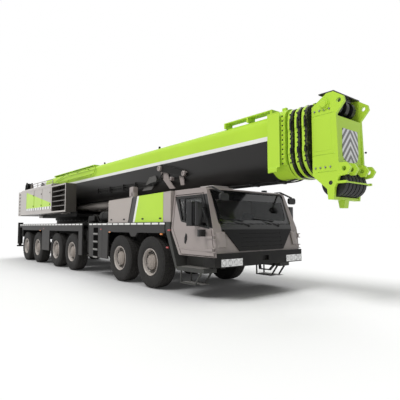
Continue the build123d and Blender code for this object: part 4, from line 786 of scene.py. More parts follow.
def fabricFinish(name, colour):
    # woven cloth
    tree, shader, place = filmFinish(name, (6, 4, 0.3, 0.7), colour, [c * 1.5 + 0.003 for c in colour],
                                     (0.85, 0.95), {'Sheen Weight': 0.3})
    addBump(tree, shader, grained(place, 350), 0.4, 0.0015)


plasticFinish("blackPlastic", (0.014, 0.014, 0.0145))
plasticFinish("greyPlastic", (0.06, 0.058, 0.056), 0.55)
plasticFinish("softRubber", (0.02, 0.02, 0.02), 0.75, 160)
rubberFinish("tyreRubber")
glassColour = (0.56, 0.60, 0.61)
filmFinish("cabGlass", (3.0, 5, 0.45, 0.8), glassColour, [c * 0.75 + 0.02 for c in glassColour], (0.02, 0.08),
           {'Transmission Weight': 1.0, 'IOR': 1.24})
filmFinish("rodChrome", (14, 4, 0.4, 0.7), (0.62, 0.62, 0.63), (0.48, 0.47, 0.45), (0.10, 0.24), {'Metallic': 1.0})
lampFinish("reflector", (0.75, 0.75, 0.74), 0.7)
lampFinish("redLens", (0.42, 0.02, 0.02))
lampFinish("amberLens", (0.75, 0.22, 0.02))
fabricFinish("seatFabric", (0.020, 0.021, 0.024))
print("finishes mixed")

# which finish each carried-over node wears; the rest are charcoal
nodeFinish = {
    "carrier_cab": "cabPaint", "cab_door_right": "cabPaint", "cab_door_left": "cabPaint", "cab_glass": "cabGlass",
    "cab_interior": "greyPlastic", "front_grille": "blackPaint", "front_bumper": "blackPaint",
    "access_steps": "fenderPaint", "lamps": "reflector", "mirrors": "blackPlastic", "carrier_deck": "deckPaint",
    "chassis_frame": "framePaint", "axle_housings": "framePaint", "engine_block": "framePaint",
    "engine_housing": "housingPaint", "outrigger_boxes": "gearPaint", "turntable": "gearPaint",
    "machinery_housing": "boxPaint", "counterweight": "weightPaint", "crane_cab": "taupePaint",
    "crane_cab_door": "taupePaint", "boom_base": "boomPaint", "boom_tele_1": "ringPaint1",
    "boom_tele_2": "ringPaint2", "boom_tele_3": "ringPaint3", "boom_tele_4": "headPaint",
    "head_sheaves": "blackPlastic", "ram_barrel": "ramPaint", "ram_rod": "rodChrome",
    "knuckle": "framePaint", "outrigger_beam": "gearPaint", "outrigger_jack": "gearPaint",
}
for name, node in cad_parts.items():
    kind = next((key for key in ("knuckle", "outrigger_beam", "outrigger_jack") if name.startswith(key)), name)
    node.data.materials.clear()
    node.data.materials.append(finishes[nodeFinish.get(kind, "charcoalPaint")])


# each profile is (offset along the axle, radius); the tyre's is one half, from bead to crown
wheelLook = {
    "steps": 60, "rimSteps": 48, "hubSteps": 40, "nuts": 20, "nutCircle": 0.232, "dishRadius": 0.292,
    "tyre": [(0.155, 0.318), (0.178, 0.350), (0.197, 0.385), (0.207, 0.430), (0.2085, 0.500), (0.204, 0.555),
             (0.194, 0.600), (0.184, 0.630), (0.172, 0.648), (0.098, 0.657), (0.088, 0.657), (0.006, 0.659)],
    "rim": [(0.012, 0.0), (0.012, 0.078), (-0.168, 0.078), (-0.182, 0.29), (-0.190, 0.340), (-0.182, 0.352),
            (-0.166, 0.344), (-0.158, 0.314), (0.158, 0.314), (0.166, 0.344), (0.184, 0.354), (0.195, 0.348),
            (0.197, 0.338), (0.182, 0.322), (0.150, 0.312), (0.118, 0.300), (0.096, 0.284), (0.088, 0.262),
            (0.086, 0.204), (0.108, 0.198)],
    "hub": [(0.106, 0.0), (0.106, 0.196), (0.150, 0.192), (0.160, 0.184), (0.163, 0.150), (0.176, 0.142),
            (0.181, 0.128), (0.181, 0.060), (0.190, 0.052), (0.192, 0.0)],
}


def markPlace(piece):
    # keeps each point's place from the wheel's centre, for the rubber's finish
    mark = piece.data.attributes.new("wheelPlace", 'FLOAT_VECTOR', 'POINT')
    for vertex, value in zip(piece.data.vertices, mark.data):
        value.vector = vertex.co
    return piece


def fromAxle(spot):
    return math.hypot(spot.x, spot.z)


def sector(spot, count):
    # which of the wheel's equal sectors a point is in
    return int((math.atan2(spot.z, spot.x) + math.pi) / (2 * math.pi / count))


def makeTyre(look):
    half = look["tyre"]
    tyre = spinProfile("tyre", [(-along, radius) for along, radius in half] + half[::-1], (0, 0, 0), look["steps"],
                       closed=True)
    # tread blocks, then every second shoulder block
    insetPick(tyre, lambda spot, out: fromAxle(spot) > 0.645 and abs(spot.y) > 0.02
              and not 0.089 < abs(spot.y) < 0.097, 0.006, 0.010, True)
    insetPick(tyre, lambda spot, out: 0.60 < fromAxle(spot) < 0.642 and abs(spot.y) > 0.18
              and sector(spot, look["steps"]) % 2 == 0, 0.005, 0.006, True)
    return markPlace(smoothOver(tyre, 32))


def makeNut(radius, height, lift):
    return insetPick(startRod("nut", (0, 0, 0), radius, height, 'Y', 6), facing('y'), radius * 0.35, radius * lift)


def ring(radius, count, offset):
    turns = [2 * math.pi * n / count for n in range(count)]
    return [moveTo(radius * math.cos(turn), offset, radius * math.sin(turn)) for turn in turns]


def makeRim(look):
    # hand holes sunk in the cone inside the rim, ribs on the hub
    disc = spinProfile("rim", look["rim"], (0, 0, 0), look["rimSteps"])
    insetPick(disc, lambda spot, out: 0.268 < fromAxle(spot) < 0.296 and spot.y > 0.08
              and sector(spot, look["rimSteps"]) % 4 in (0, 1), 0.004, -0.02)
    smoothOver(disc, 32)
    hub = spinProfile("hub", look["hub"], (0, 0, 0), look["hubSteps"])
    insetPick(hub, lambda spot, out: abs(fromAxle(spot) - 0.194) < 0.01 and 0.11 < spot.y < 0.148
              and sector(spot, look["hubSteps"]) % 4 == 0, 0.003, 0.005)
    smoothOver(hub, 32)
    nuts = spread("nuts", makeNut(0.016, 0.030, 0.5), ring(look["nutCircle"], look["nuts"], 0.098))
    bolts = spread("bolts", makeNut(0.010, 0.014, 0.25), ring(0.168, 12, 0.166) + ring(0.095, 8, 0.184))
    # the dish behind the nuts is painted near-black as painted shade in the wheel's hollow, darker than the flange
    for part, finish in ((disc, "rimPaint"), (nuts, "nutPaint"), (hub, "hubPaint"), (bolts, "steelPaint"),
                         (disc, "dishPaint")):
        part.data.materials.append(finishes[finish])
    openEdit(disc)
    pickFaces(disc, lambda spot, out: spot.y > 0.05 and fromAxle(spot) < look["dishRadius"])
    disc.active_material_index = 1
    bpy.ops.object.material_slot_assign()
    closeEdit()
    return markPlace(joinUp("rim", [disc, hub, nuts, bolts]))


tyreMaster = makeTyre(wheelLook)
rimMaster = makeRim(wheelLook)
for number in range(1, 7):
    for sideName, side in sides.items():
        node = f"wheel_{number}_{sideName}"
        turn = Matrix.Rotation(random.uniform(0, 6.28), 4, 'Y')
        place = moveTo(*middleOf(*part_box(node))) @ Matrix.Diagonal((1, side, 1, 1)) @ turn
        tyre = copyTo(tyreMaster, f"tyre_{number}_{sideName}", place, side < 0)
        dress(tyre, node, "tyreRubber", (node,))
        rim = copyTo(rimMaster, f"rim_{number}_{sideName}", place, side < 0)
        dress(rim, node, None)
dropPiece(tyreMaster)
dropPiece(rimMaster)
print("wheels on")


# the carrier cab's windows, mirrors, wipers and inside
def skinAt(z):
    # how far out the cab's side stands at a height
    return bodyHalf - cab["lean"] * max(0.0, z - cab["waist"])


def leanSide(piece, side):
    # a panel drawn at x, z with its thickness along y is laid on the cab's leaning side
    return moveEach(piece, lambda p: (p.x, side * (skinAt(p.z) + p.y), p.z))


def sidePanel(name, points, low, high, edge=0.0, segments=2):
    panel = traceOutline(name, atY(low, points), (0, high - low, 0))
    return soften(panel, edge, segments) if edge else panel


doorLook = {
    "hole": [(4.945, 2.255), (5.81, 2.26), (6.15, 1.565), (5.18, 1.725)],
    "divider": [(5.235, 1.71), (5.175, 2.262), (5.215, 2.262), (5.285, 1.703)],
    "plate": [(5.315, 1.215), (5.355, 1.195), (5.405, 1.30), (5.40, 1.405), (5.365, 1.43), (5.32, 1.33)],
    "pull": [(5.352, 1.25), (5.374, 1.245), (5.388, 1.38), (5.366, 1.392)],
    "press": [(5.06, 1.075), (6.20, 1.045), (6.20, 1.075), (5.055, 1.105)],
    "rail": [(4.90, 2.288), (5.83, 2.294), (5.83, 2.306), (4.895, 2.300)],
}
for sideName, side in sides.items():
    body = f"door_{sideName}"
    look = doorLook
    seal = soften(traceSeal("seal", look["hole"], 0.024, -0.014, atY, -0.004, (0, 0.014, 0)), 0.004)
    divider = sidePanel("divider", look["divider"], -0.03, 0.002, 0.004)
    trim = leanSide(joinUp(f"window_seal_{sideName}", [seal, divider]), side)
    dress(trim, body, "softRubber")
    pane = sidePanel(f"door_glass_{sideName}", grow(look["hole"], -0.004), -0.024, -0.018, 0.0015)
    dress(leanSide(pane, side), body, "cabGlass")
    # a sunk handle plate with its pull and lock
    plate = insetPick(sidePanel("handle", grow(look["plate"], 0.006), 0.0005, 0.006), facing('y'), 0.010, -0.003)
    pull = sidePanel("pull", look["pull"], 0.004, 0.022, 0.006, 3)
    lock = insetPick(startRod("lock", (5.335, 0.008, 1.232), 0.011, 0.008, 'Y', 16), facing('y'), 0.003, -0.002)
    handle = leanSide(joinUp(f"door_handle_{sideName}", [soften(plate, 0.002), pull, lock]), side)
    dress(smoothOver(handle), body, "blackPlastic")
    # a pressed line low on the door and a thin drip rail over the window
    press = sidePanel("press", look["press"], -0.002, 0.008, 0.004)
    rail = sidePanel("rail", look["rail"], -0.002, 0.012, 0.004)
    dress(leanSide(joinUp(f"door_trim_{sideName}", [press, rail]), side), body, "cabPaint")

mirrorLook = {"front": 5.87, "rear": 5.68, "low": 1.60, "high": 2.14, "inner": 1.49, "outer": 1.69}
for sideName, side in sides.items():
    look = mirrorLook
    shell = startBox(f"mirror_shell_{sideName}", (look["rear"], look["inner"], look["low"]),
                     (look["front"], look["outer"], look["high"]))
    openEdit(shell)
    pickFaces(shell, facing('x'))
    inset(0.03)
    bpy.ops.transform.resize(value=(1, 0.8, 0.86), center_override=(look["front"], 1.59, 1.9))
    pullOut((0.02, 0, 0))
    pickFaces(shell, facing('x', -1))
    inset(0.014, -0.012)
    closeEdit()
    soften(shell, 0.022, 4, 40)
    # the main glass and the kerb glass below it
    glasses = [plaque("glass", (look["rear"] + 0.004, look["inner"] + 0.02, low),
                      (look["rear"] + 0.012, look["outer"] - 0.02, high), facing('x', -1), 0.006, 0.002)
               for low, high in ((look["low"] + 0.16, look["high"] - 0.02), (look["low"] + 0.02, look["low"] + 0.145))]
    glass = joinUp("glass", glasses)
    shell.data.materials.append(finishes["blackPlastic"])
    glass.data.materials.append(finishes["rodChrome"])
    mirror = moveEach(joinUp(f"mirror_shell_{sideName}", [shell, glass]), lambda p: (p.x, side * p.y, p.z))
    dress(smoothOver(mirror, 40), f"door_{sideName}", None)


def screenX(z):
    # the windscreen's outer face at a height
    return glassHigh[0] - (z - glassLow[2]) * 0.3736


def layOnScreen(piece):
    return moveEach(piece, lambda p: (screenX(max(p.z, glassLow[2])) + p.x, p.y, p.z))


screenLook = {"lowHalf": 1.19, "highHalf": 1.235, "low": 1.66, "high": 2.372, "corner": 0.06,
              "band": [(-1.15, 2.20), (1.15, 2.20), (1.16, 2.335), (-1.16, 2.335)]}


def screenCorners(look, border):
    lowHalf, highHalf = look["lowHalf"] - border, look["highHalf"] - border
    low, high, cut = look["low"] + border, look["high"] - border * 0.7, look["corner"]
    half = [(lowHalf - cut, low), (lowHalf + 0.002, low + cut), (highHalf, high - cut), (highHalf - cut, high)]
    return half + [(-y, z) for y, z in reversed(half)]


rim = traceRing("screen", atX(0.001, screenCorners(screenLook, 0.0)), atX(0.001, screenCorners(screenLook, 0.075)),
                (0.004, 0, 0))
band = traceOutline("screen", atX(0.001, screenLook["band"]), (0.003, 0, 0))
dress(layOnScreen(joinUp("screen_border", [rim, band])), "carrier", "glossBlack")

wiperLook = {"pivots": (-0.32, 0.74), "foot": 1.615, "reach": 0.4836, "rise": 0.13, "half": 0.36}
parts = []
for pivot in wiperLook["pivots"]:
    foot, half = wiperLook["foot"], wiperLook["half"]
    y, z = pivot - wiperLook["reach"], foot + wiperLook["rise"]
    cap = insetPick(startRod("wiper", (0.03, pivot, foot), 0.028, 0.05, 'X', 20), facing('x'), 0.008, 0.008)
    arm = traceOutline("wiper", atX(0.04, [(pivot, foot - 0.014), (pivot, foot + 0.014), (y, z + 0.006),
                                           (y, z - 0.006)]), (0.014, 0, 0))
    blade = traceOutline("wiper", atX(0.012, [(y - half, z + 0.030), (y + half, z - 0.030), (y + half, z - 0.008),
                                              (y - half, z + 0.052)]), (0.022, 0, 0))
    parts += [cap, soften(arm, 0.004), soften(blade, 0.005)]
dress(layOnScreen(joinUp("wipers", parts)), "carrier", "blackPlastic")

# corner deflectors and a roof edge rail
flapLook = {"inner": 1.13, "outer": 1.385, "low": 1.13, "high": 1.47, "thick": 0.035, "bend": 1.30}
look = flapLook
parts = []
for side in (-1, 1):
    flap = startBox("deflector", (0.0, side * look["inner"], look["low"]),
                    (look["thick"], side * look["outer"], look["high"]))
    openEdit(flap)
    pickFaces(flap, facing('x'))
    inset(0.02, 0.012)
    bpy.ops.mesh.subdivide(number_cuts=2)
    pickFaces(flap, facing('z', -1))
    bpy.ops.transform.resize(value=(1, 0.72, 1), center_override=(0, side * 1.37, look["low"]))
    closeEdit()
    soften(flap, 0.012, 3)
    parts.append(moveEach(flap, lambda p: (
        cab["footFront"] - (p.z - cab["foot"]) * 0.175 + p.x - 0.012 - max(0.0, abs(p.y) - look["bend"]) * 0.35,
        p.y, p.z)))
low, high = cab["roof"] - 0.045, cab["roof"] - 0.018
edge = traceOutline("roof", atX(0.0, [(-1.30, low), (1.30, low), (1.285, high), (-1.285, high)]), (0.035, 0, 0))
parts.append(soften(layOnScreen(edge), 0.008, 3))
dress(smoothOver(joinUp("cab_corners", parts)), "carrier", "taupePaint")


def makeLamp(radius, depth, place):
    # round lens in a stepped bezel, facing along x
    bezel = [(0.0, radius * 0.80), (depth * 0.6, radius * 0.86), (depth * 0.6, radius), (-depth, radius),
             (-depth, 0.0)]
    lens = [(0.0, radius * 0.82), (depth * 0.25, radius * 0.55), (depth * 0.42, 0.0)]
    parts = [smoothOver(spinProfile("lamp", profile, (0, 0, 0), 24)) for profile in (bezel, lens)]
    for part in parts:
        part.data.transform(Matrix.Rotation(-math.pi / 2, 4, 'Z'))
        part.data.transform(place)
    return parts


lampLook = {"front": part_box("front_bumper")[1][0] - 0.012, "height": 0.822,
            "lamps": [(-1.30, 0.062), (-1.13, 0.066), (-0.955, 0.058), (-0.81, 0.042)]}
pairs = [makeLamp(radius, 0.02, moveTo(lampLook["front"], side * y, lampLook["height"]))
         for side in (1, -1) for y, radius in lampLook["lamps"]]
bezels, lenses = zip(*pairs)
dressAll("headlamp_bezels", bezels, "carrier", "greyTrim")
dressAll("headlamp_lenses", lenses, "carrier", "reflector")


def sideLamps(name, spots, inner, outer, finish):
    # small lamps that stand out of either flank
    lamps = [sidePlaque("lamp", math.copysign(1, y), (x - 0.05, abs(y) - inner, z - 0.022),
                        (x + 0.05, abs(y) + outer, z + 0.022), 0.006, 0.004, 0.006) for x, y, z in spots]
    dressAll(name, lamps, "carrier", finish)


spots = [(4.72, 1.47, 1.50), (4.66, 1.47, 1.08), (1.0, 1.485, 1.50), (-4.6, 1.485, 1.50)]
sideLamps("side_markers", [(x, side * y, z) for x, y, z in spots for side in (1, -1)], 0.01, 0.018, "redLens")
print("cab dressed")


# inside the cab: padded seats, dashboard, wheel
def makeCushion(name, low, high, crown, channels):
    # a crowned pad with pulled-in sides and sewn channels across its top
    pad = startBox(name, low, high)
    openEdit(pad)
    pickAll()
    bpy.ops.mesh.subdivide(number_cuts=11)
    closeEdit()
    middle = middleOf(low, high)
    half = [(b - a) / 2 for a, b in zip(low, high)]

    def puff(p):
        u, v, w = ((p[n] - middle[n]) / half[n] for n in range(3))
        top = crown * (1 - u * u) * (1 - v * v) * w
        dent = sum(0.010 * math.exp(-((u - c) / 0.07) ** 2) for c in channels) * max(0.0, w) * (1 - v ** 4)
        pullX = 0.018 * u * (1 - v * v) - 0.012 * u * w * w
        pullY = 0.018 * v * (1 - u * u) - 0.012 * v * w * w
        return (p.x - 0.014 * u + pullX, p.y - 0.014 * v + pullY, p.z + top - dent - 0.02 * w)
    moveEach(pad, puff)
    return smoothOver(applyStep(pad, 'SUBSURF', levels=1, render_levels=1), 60)


def placeSeat(tag, x, y, floorZ, body, width=0.46):
    # cushion, leaning backrest and headrest on a sprung base
    base = plaque("base", (x + 0.10, y - 0.15, floorZ), (x + 0.42, y + 0.15, floorZ + 0.22), facing('z'), 0.03, 0,
                  0.02, pull=(0, 0, 0.05))
    dress(base, body, "blackPlastic").name = f"seat_base_{tag}"
    half = width / 2
    turn = Matrix.Rotation(math.radians(-80), 4, 'Y')
    for name, low, high, crown, channels, place, fill in (
            ("seat_pad", (x + 0.02, y - half, floorZ + 0.26), (x + 0.52, y + half, floorZ + 0.40), 0.035,
             (-0.45, 0.1, 0.6), None, 0.65),
            ("seat_back", (-0.30, y - half + 0.01, -0.055), (0.28, y + half - 0.01, 0.055), 0.03, (-0.5, 0.0, 0.5),
             (x - 0.005, 0, floorZ + 0.66), 0.65),
            ("headrest", (-0.075, y - 0.13, -0.04), (0.075, y + 0.13, 0.04), 0.015, (),
             (x - 0.07, 0, floorZ + 0.895), 0.75)):
        pad = makeCushion(f"{name}_{tag}", low, high, crown, channels)
        if place:
            pad.data.transform(moveTo(*place) @ turn)
        dress(pad, body, "seatFabric")


insideLow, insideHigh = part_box("cab_interior")
for sideName, side in sides.items():
    placeSeat(f"cab_{sideName}", insideLow[0] + 0.13, side * 0.76, insideLow[2], "carrier")

# outline as (behind the front edge, height)
dashLook = {"front": insideHigh[0] - 0.01, "half": 1.12, "foot": insideLow[2] + 0.02,
            "bends": [(0.10, 1.50), (0.22, 1.53), (0.34, 1.43), (0.30, 1.20), (0.14, 1.05)],
            "hood": [(5.84, 1.42), (6.00, 1.50), (5.98, 1.60), (5.86, 1.585)]}
outline = [(dashLook["front"] - back, z) for back, z in
           [(0.0, dashLook["foot"])] + dashLook["bends"] + [(0.12, dashLook["foot"])]]
dash = soften(traceOutline("dashboard", atY(-dashLook["half"], outline), (0, 2 * dashLook["half"], 0)), 0.02, 3)
hood = insetPick(traceOutline("hood", atY(0.46, dashLook["hood"]), (0, 0.60, 0)), facing('x', -1, 0.5), 0.02, -0.03)
soften(hood, 0.015, 3)
console = startBox("console", (insideLow[0] + 0.15, -0.28, insideLow[2]), (5.78, 0.28, insideLow[2] + 0.26))
openEdit(console)
pickFaces(console, facing('z'))
inset(0.05)
inset(0.012, -0.03)
closeEdit()
soften(console, 0.015)

steeringLook = {"radius": 0.225, "grip": 0.016, "spokes": (30, 150, 270), "place": (5.74, 0.76, 1.565), "lean": -28}
look = steeringLook
clearPick()
bpy.ops.mesh.primitive_torus_add(major_radius=look["radius"], minor_radius=look["grip"], major_segments=48,
                                 minor_segments=10)
wheelRing = settle("steering")
spokes = []
for angle in look["spokes"]:
    spoke = soften(startBox("spoke", (0.04, -0.022, -0.010), (0.222, 0.022, 0.006)), 0.006)
    spoke.data.transform(Matrix.Rotation(math.radians(angle), 4, 'Z'))
    spokes.append(spoke)
boss = insetPick(startRod("boss", (0, 0, -0.01), 0.06, 0.04), facing('z'), 0.012, 0.008)
post = insetPick(startRod("post", (0, 0, -0.15), 0.028, 0.26, 'Z', 16), facing('z', -1), 0.004, 0.004)
steering = joinUp("steering_wheel", [wheelRing, boss, post] + spokes)
steering.data.transform(moveTo(*look["place"]) @ Matrix.Rotation(math.radians(look["lean"]), 4, 'Y'))
dress(smoothOver(steering), "carrier", "blackPlastic")
inside = smoothOver(joinUp("dashboard", [dash, hood, console]))
dress(inside, "carrier", "greyPlastic", ("cab_interior",))
print("cab furnished")


# boom head, rings and the fittings along the boom
panelLook = {"x": headHigh[0] - 0.26, "thick": 0.006,
             "half": [(0.275, 3.44), (0.295, 3.02), (0.28, 2.90), (0.22, 2.835), (0.10, 2.80)]}
outline = panelLook["half"] + [(-y, z) for y, z in reversed(panelLook["half"])]
panel = traceOutline("chevron_panel", atX(panelLook["x"], outline[-1:] + outline[:-1]), (panelLook["thick"], 0, 0))
dress(insetPick(panel, facing('x'), 0.010, 0.002), "boom_4", "chevronPaint")

# weld seams, bosses and doublers on the head's cheeks
headLook = {
    "seams": [(3.72, 8.13, 8.60), (2.95, 8.13, 8.60), (2.62, 8.20, 8.62)],
    "boss": [(0.478, 0.0), (0.478, 0.115), (0.500, 0.110), (0.505, 0.075), (0.535, 0.070), (0.545, 0.058),
             (0.545, 0.0)],
    "doubler": [(8.16, 3.02), (8.54, 3.02), (8.54, 3.66), (8.16, 3.66)],
}
seams = [soften(startBox("seam", (rear, side * 0.478, z - 0.005), (front, side * 0.487, z + 0.005)), 0.003)
         for z, rear, front in headLook["seams"] for side in (1, -1)]
for side in (1, -1):
    boss = spinProfile("boss", headLook["boss"], (8.40, 0, 3.90), 28)
    if side < 0:
        mirrored(boss)
    doubler = traceOutline("doubler", atY(side * 0.477, headLook["doubler"]), (0, side * 0.006, 0))
    seams += [smoothOver(boss), soften(doubler, 0.003)]
dressAll("head_seams", seams, "boom_4", "limePaint")

# dark bolt rows beside the collar and each ring, bright ones on the head
boltLook = {"left": -math.pi / 2, "right": math.pi / 2}
for sideName, side in sides.items():
    spots = [(8.19 + 0.105 * n, side * 0.487, z) for n in range(4) for z in (3.80, 2.70)]
    boltRow(f"head_bolts_{sideName}", spots, "boom_4", "steelPaint", 0.014, 0.014, boltLook[sideName])
rings = [("boom", collarFront, 0.64)] + [(f"boom_{n}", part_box(f"boom_tele_{n}")[1][0], 0.60) for n in (1, 2, 3)]
for body, front, half in rings:
    for sideName, side in sides.items():
        spots = [(front - 0.030, side * (half - 0.001), 2.86 + 0.098 * n) for n in range(11)]
        boltRow(f"ring_bolts_{body}_{sideName}", spots, body, "gearPaint", 0.014, 0.010, boltLook[sideName])

# a fixed strip up the collar's side and a wear pad box below it; x runs from the collar's front
collarLook = {"strip": [(-0.42, 0.636, 2.80), (-0.10, 0.652, 3.96)],
              "pad": [(-0.40, 0.636, 2.70), (-0.16, 0.672, 2.80)]}
parts = []
for side in (1, -1):
    for name, finish in (("strip", (0.03, -0.008, 0.004)), ("pad", (0.015, 0.008, 0.005))):
        low, high = ((collarFront + x, y, z) for x, y, z in collarLook[name])
        parts.append(sidePlaque(name, side, low, high, *finish))
dressAll("collar_plates", parts, "boom", "limePaint")

# lamp box and wind gauge on the head's far side
gaugeLook = {"x": 8.60, "y": 0.56, "hub": 3.055, "cups": 3.065, "post": [(0.47, 2.92), (0.53, 2.93), (0.56, 2.98),
                                                                       (0.56, 3.04)],
             "box": [(8.46, 0.485, 3.30), (8.58, 0.56, 3.44)], "cup": [(0.0, 0.022), (-0.014, 0.018), (-0.022, 0.0)]}
look = gaugeLook
box = plaque("box", *look["box"], facing('y'), 0.012, 0.008, 0.008)
post = cordRun("post", atX(look["x"], look["post"]), 0.010)
hub = startRod("hub", (look["x"], look["y"], look["hub"]), 0.016, 0.04, 'Z', 16)
insetPick(hub, facing('z'), 0.005, 0.006)
cups = []
for turn in (0, 120, 240):
    arm = startRod("cup", (0.028, 0, 0), 0.004, 0.056, 'X', 8)
    cup = joinUp("cup", [arm, spinProfile("cup", look["cup"], (0.062, 0, 0), 12)])
    cup.data.transform(moveTo(look["x"], look["y"], look["cups"]) @ Matrix.Rotation(math.radians(turn), 4, 'Z'))
    cups.append(cup)
dressAll("wind_gauge", [box, post, hub] + cups, "boom_4", "blackPlastic")

# rope guides on the boom's top, fixed pipes below it
hookLook = {"spots": [(2.45, -0.26), (2.25, 0.22), (-1.40, -0.26), (-2.55, -0.12), (5.0, 0.24)],
            "ear": [(-0.02, 0.018), (-0.02, 0.034), (0.02, 0.034), (0.02, 0.018)], "rise": 0.075}
hooks = []
topZ = tubeTop - 0.10
for x, y in hookLook["spots"]:
    hooks += [plaque("hook", (x - 0.06, y - 0.03, topZ - 0.004), (x + 0.06, y + 0.03, topZ + 0.012), facing('z'),
                     0.015, 0.0, 0.006, pull=(0, 0, 0.05)),
              spinProfile("hook", hookLook["ear"], (x, y, topZ + hookLook["rise"]), 16, closed=True)]
dressAll("rope_hooks", hooks, "boom", "gearPaint")

pipeLook = {"run": [(2.3, 0.02), (2.5, -0.025), (3.1, -0.035), (5.2, -0.035), (7.1, -0.035), (7.40, -0.03),
                    (7.50, 0.01)],
            "pipes": [(-0.12, 0.016), (-0.07, 0.012), (0.10, 0.016)], "clamps": (3.2, 4.2, 5.2, 6.2, 7.0)}
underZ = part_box("boom_tele_1")[0][2] + 0.025
pipes = [cordRun("pipe", atZ(underZ, atY(y, pipeLook["run"])), radius) for y, radius in pipeLook["pipes"]]
clamps = [plaque("clamp", (x - 0.03, -0.16, underZ - 0.055), (x + 0.03, 0.14, underZ + 0.01), facing('z', -1),
                 0.012, 0.006, 0.006) for x in pipeLook["clamps"]]
dressAll("boom_pipes", pipes + clamps, "boom", "blackPlastic")

# the link bar, bosses, rest plate and pipes on the boom's flanks
flankLook = {
    "link": [(2.92, 3.33), (3.06, 3.40), (3.30, 3.36), (4.24, 3.10), (4.30, 2.98), (4.18, 2.93), (3.02, 3.20)],
    "rest": [(1.98, 2.70), (2.40, 3.10), (2.72, 3.12), (2.80, 2.98), (2.52, 2.70)],
    "bosses": [(3.02, 3.29, 0.085), (4.20, 3.02, 0.075), (3.62, 2.93, 0.055)], "clips": (-1.2, -0.2, 0.8, 1.6),
    "studs": [(-5.6, 3.64), (-4.4, 3.64), (-3.2, 3.64), (-2.0, 3.64), (-4.5, 3.90), (-3.4, 3.90), (-2.3, 3.90)],
    "rod": [(-6.20, 3.63), (-5.6, 3.64), (-3.0, 3.64), (-1.65, 3.64), (-1.60, 3.70), (-1.50, 3.86), (-1.55, 3.90),
            (-2.6, 3.90), (-4.6, 3.90), (-4.85, 3.88), (-6.1, 3.66)],
}


def flankPlate(name, points, side, y, thick, rim, depth, edge):
    plate = traceOutline(name, atY(side * y, points), (0, side * thick, 0))
    return soften(insetPick(plate, facing('y', side), rim, depth), edge)


look = flankLook
parts, bosses, rests, rods = [], [], [], []
for side in (1, -1):
    parts.append(flankPlate("link", look["link"], side, 0.575, 0.05, 0.018, -0.012, 0.008))
    for x, z, radius in look["bosses"]:
        boss = spinProfile("boss", [(0.57, radius), (0.665, radius), (0.675, radius - 0.010), (0.675, radius * 0.55),
                                    (0.660, radius * 0.5), (0.660, 0.0)], (x, 0, z), 24)
        if side < 0:
            mirrored(boss)
        bosses.append(smoothOver(boss))
    rests.append(flankPlate("rest", look["rest"], side, 0.565, 0.03, 0.03, -0.008, 0.006))
    for n in range(4):
        y = side * (0.595 + 0.022 * (n % 2))
        parts.append(cordRun("pipe", atZ(2.98 - 0.055 * n, [
            (-1.55, side * 0.53, -0.02), (-1.50, y, 0), (0.4, y, 0), (1.6, y, 0), (1.95, y, -0.04),
            (2.6, y, -0.20 + 0.10 * n), (2.9, y, -0.06 + 0.05 * n), (3.10, y, 0.16),
            (3.14, side * 0.56, 0.20)]), 0.013))
    parts += [sidePlaque("clip", side, (x - 0.02, 0.52, 2.79), (x + 0.02, 0.635, 3.01), 0.005, 0.004, 0.005)
              for x in look["clips"]]
    # a rod frame along the upper flank on studs
    rods.append(cordRun("rod", [(-6.20, side * 0.53, 3.62)] + atY(side * 0.60, look["rod"])
                        + [(-6.16, side * 0.53, 3.64)], 0.020))
    rods += [insetPick(startRod("stud", (x, side * 0.565, z), 0.024, 0.09, 'Y', 12), facing('y', side), 0.006, 0.004)
             for x, z in look["studs"]]
dressAll("boom_link", parts, "boom", "gearPaint")
dressAll("boom_bosses", bosses, "boom", "taupePaint")
dressAll("boom_rest_plates", rests, "boom", "greyTrim")
dressAll("boom_rods", rods, "boom", "limePaint")
print("boom dressed")


# superstructure: rope, reel, rails, ballast, ram fittings, crane cab glass and seat
ropeLook = {"half": 0.33, "radius": 0.165, "rope": 0.011, "turns": 30,
            "humps": [(0.0, 0.0), (0.25, 0.8), (0.5, 1.0), (0.75, 0.8)]}


def makeRopeLay(look, middle):
    # a rippled sleeve: one hump for every turn of rope on the drum
    half, radius = look["half"], look["radius"]
    pitch = 2 * half / look["turns"]
    profile = [(-half + turn * pitch + share * pitch, radius + look["rope"] * lift)
               for turn in range(look["turns"]) for share, lift in look["humps"]]
    profile = [(-half, radius - 0.03)] + profile + [(half, radius), (half, radius - 0.03)]
    return smoothOver(spinProfile("winch_rope", profile, middle, 40), 60)


winchMiddle = middleOf(*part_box("winch_drum"))
dress(makeRopeLay(ropeLook, (winchMiddle[0], 0, winchMiddle[2])), "winch", "ropeSteel")

# a hose reel on its stand over the rear right corner
reelLook = {"middle": (-8.60, -1.02, 3.66), "radius": 0.20, "half": 0.15, "turns": 20, "foot": 3.325}
x, y, z = reelLook["middle"]
half, radius = reelLook["half"], reelLook["radius"]
flange = [(-half, 0.0), (-half, 0.06), (-half + 0.012, radius - 0.01), (-half + 0.022, radius),
          (-half + 0.034, radius), (-half + 0.040, 0.10)]
lay = [(-half + 0.040 + 0.0115 * n, 0.15 + 0.010 * (n % 2)) for n in range(reelLook["turns"])]
reel = spinProfile("reel", flange + [(-along, out) for along, out in reversed(flange)], reelLook["middle"], 32)
wound = spinProfile("reel", [(-half + 0.040, 0.09)] + lay + [(half - 0.040, 0.09)], reelLook["middle"], 32)
parts = [smoothOver(reel), smoothOver(wound, 60)]
for sign in (-1, 1):
    leg = [(x - 0.16, reelLook["foot"]), (x + 0.16, reelLook["foot"]), (x + 0.05, z + 0.06), (x - 0.05, z + 0.06)]
    parts.append(soften(traceOutline("stand", atY(y + sign * (half + 0.02), leg), (0, sign * 0.014, 0)), 0.004))
dressAll("hose_reel", parts, "superstructure", "gearPaint")

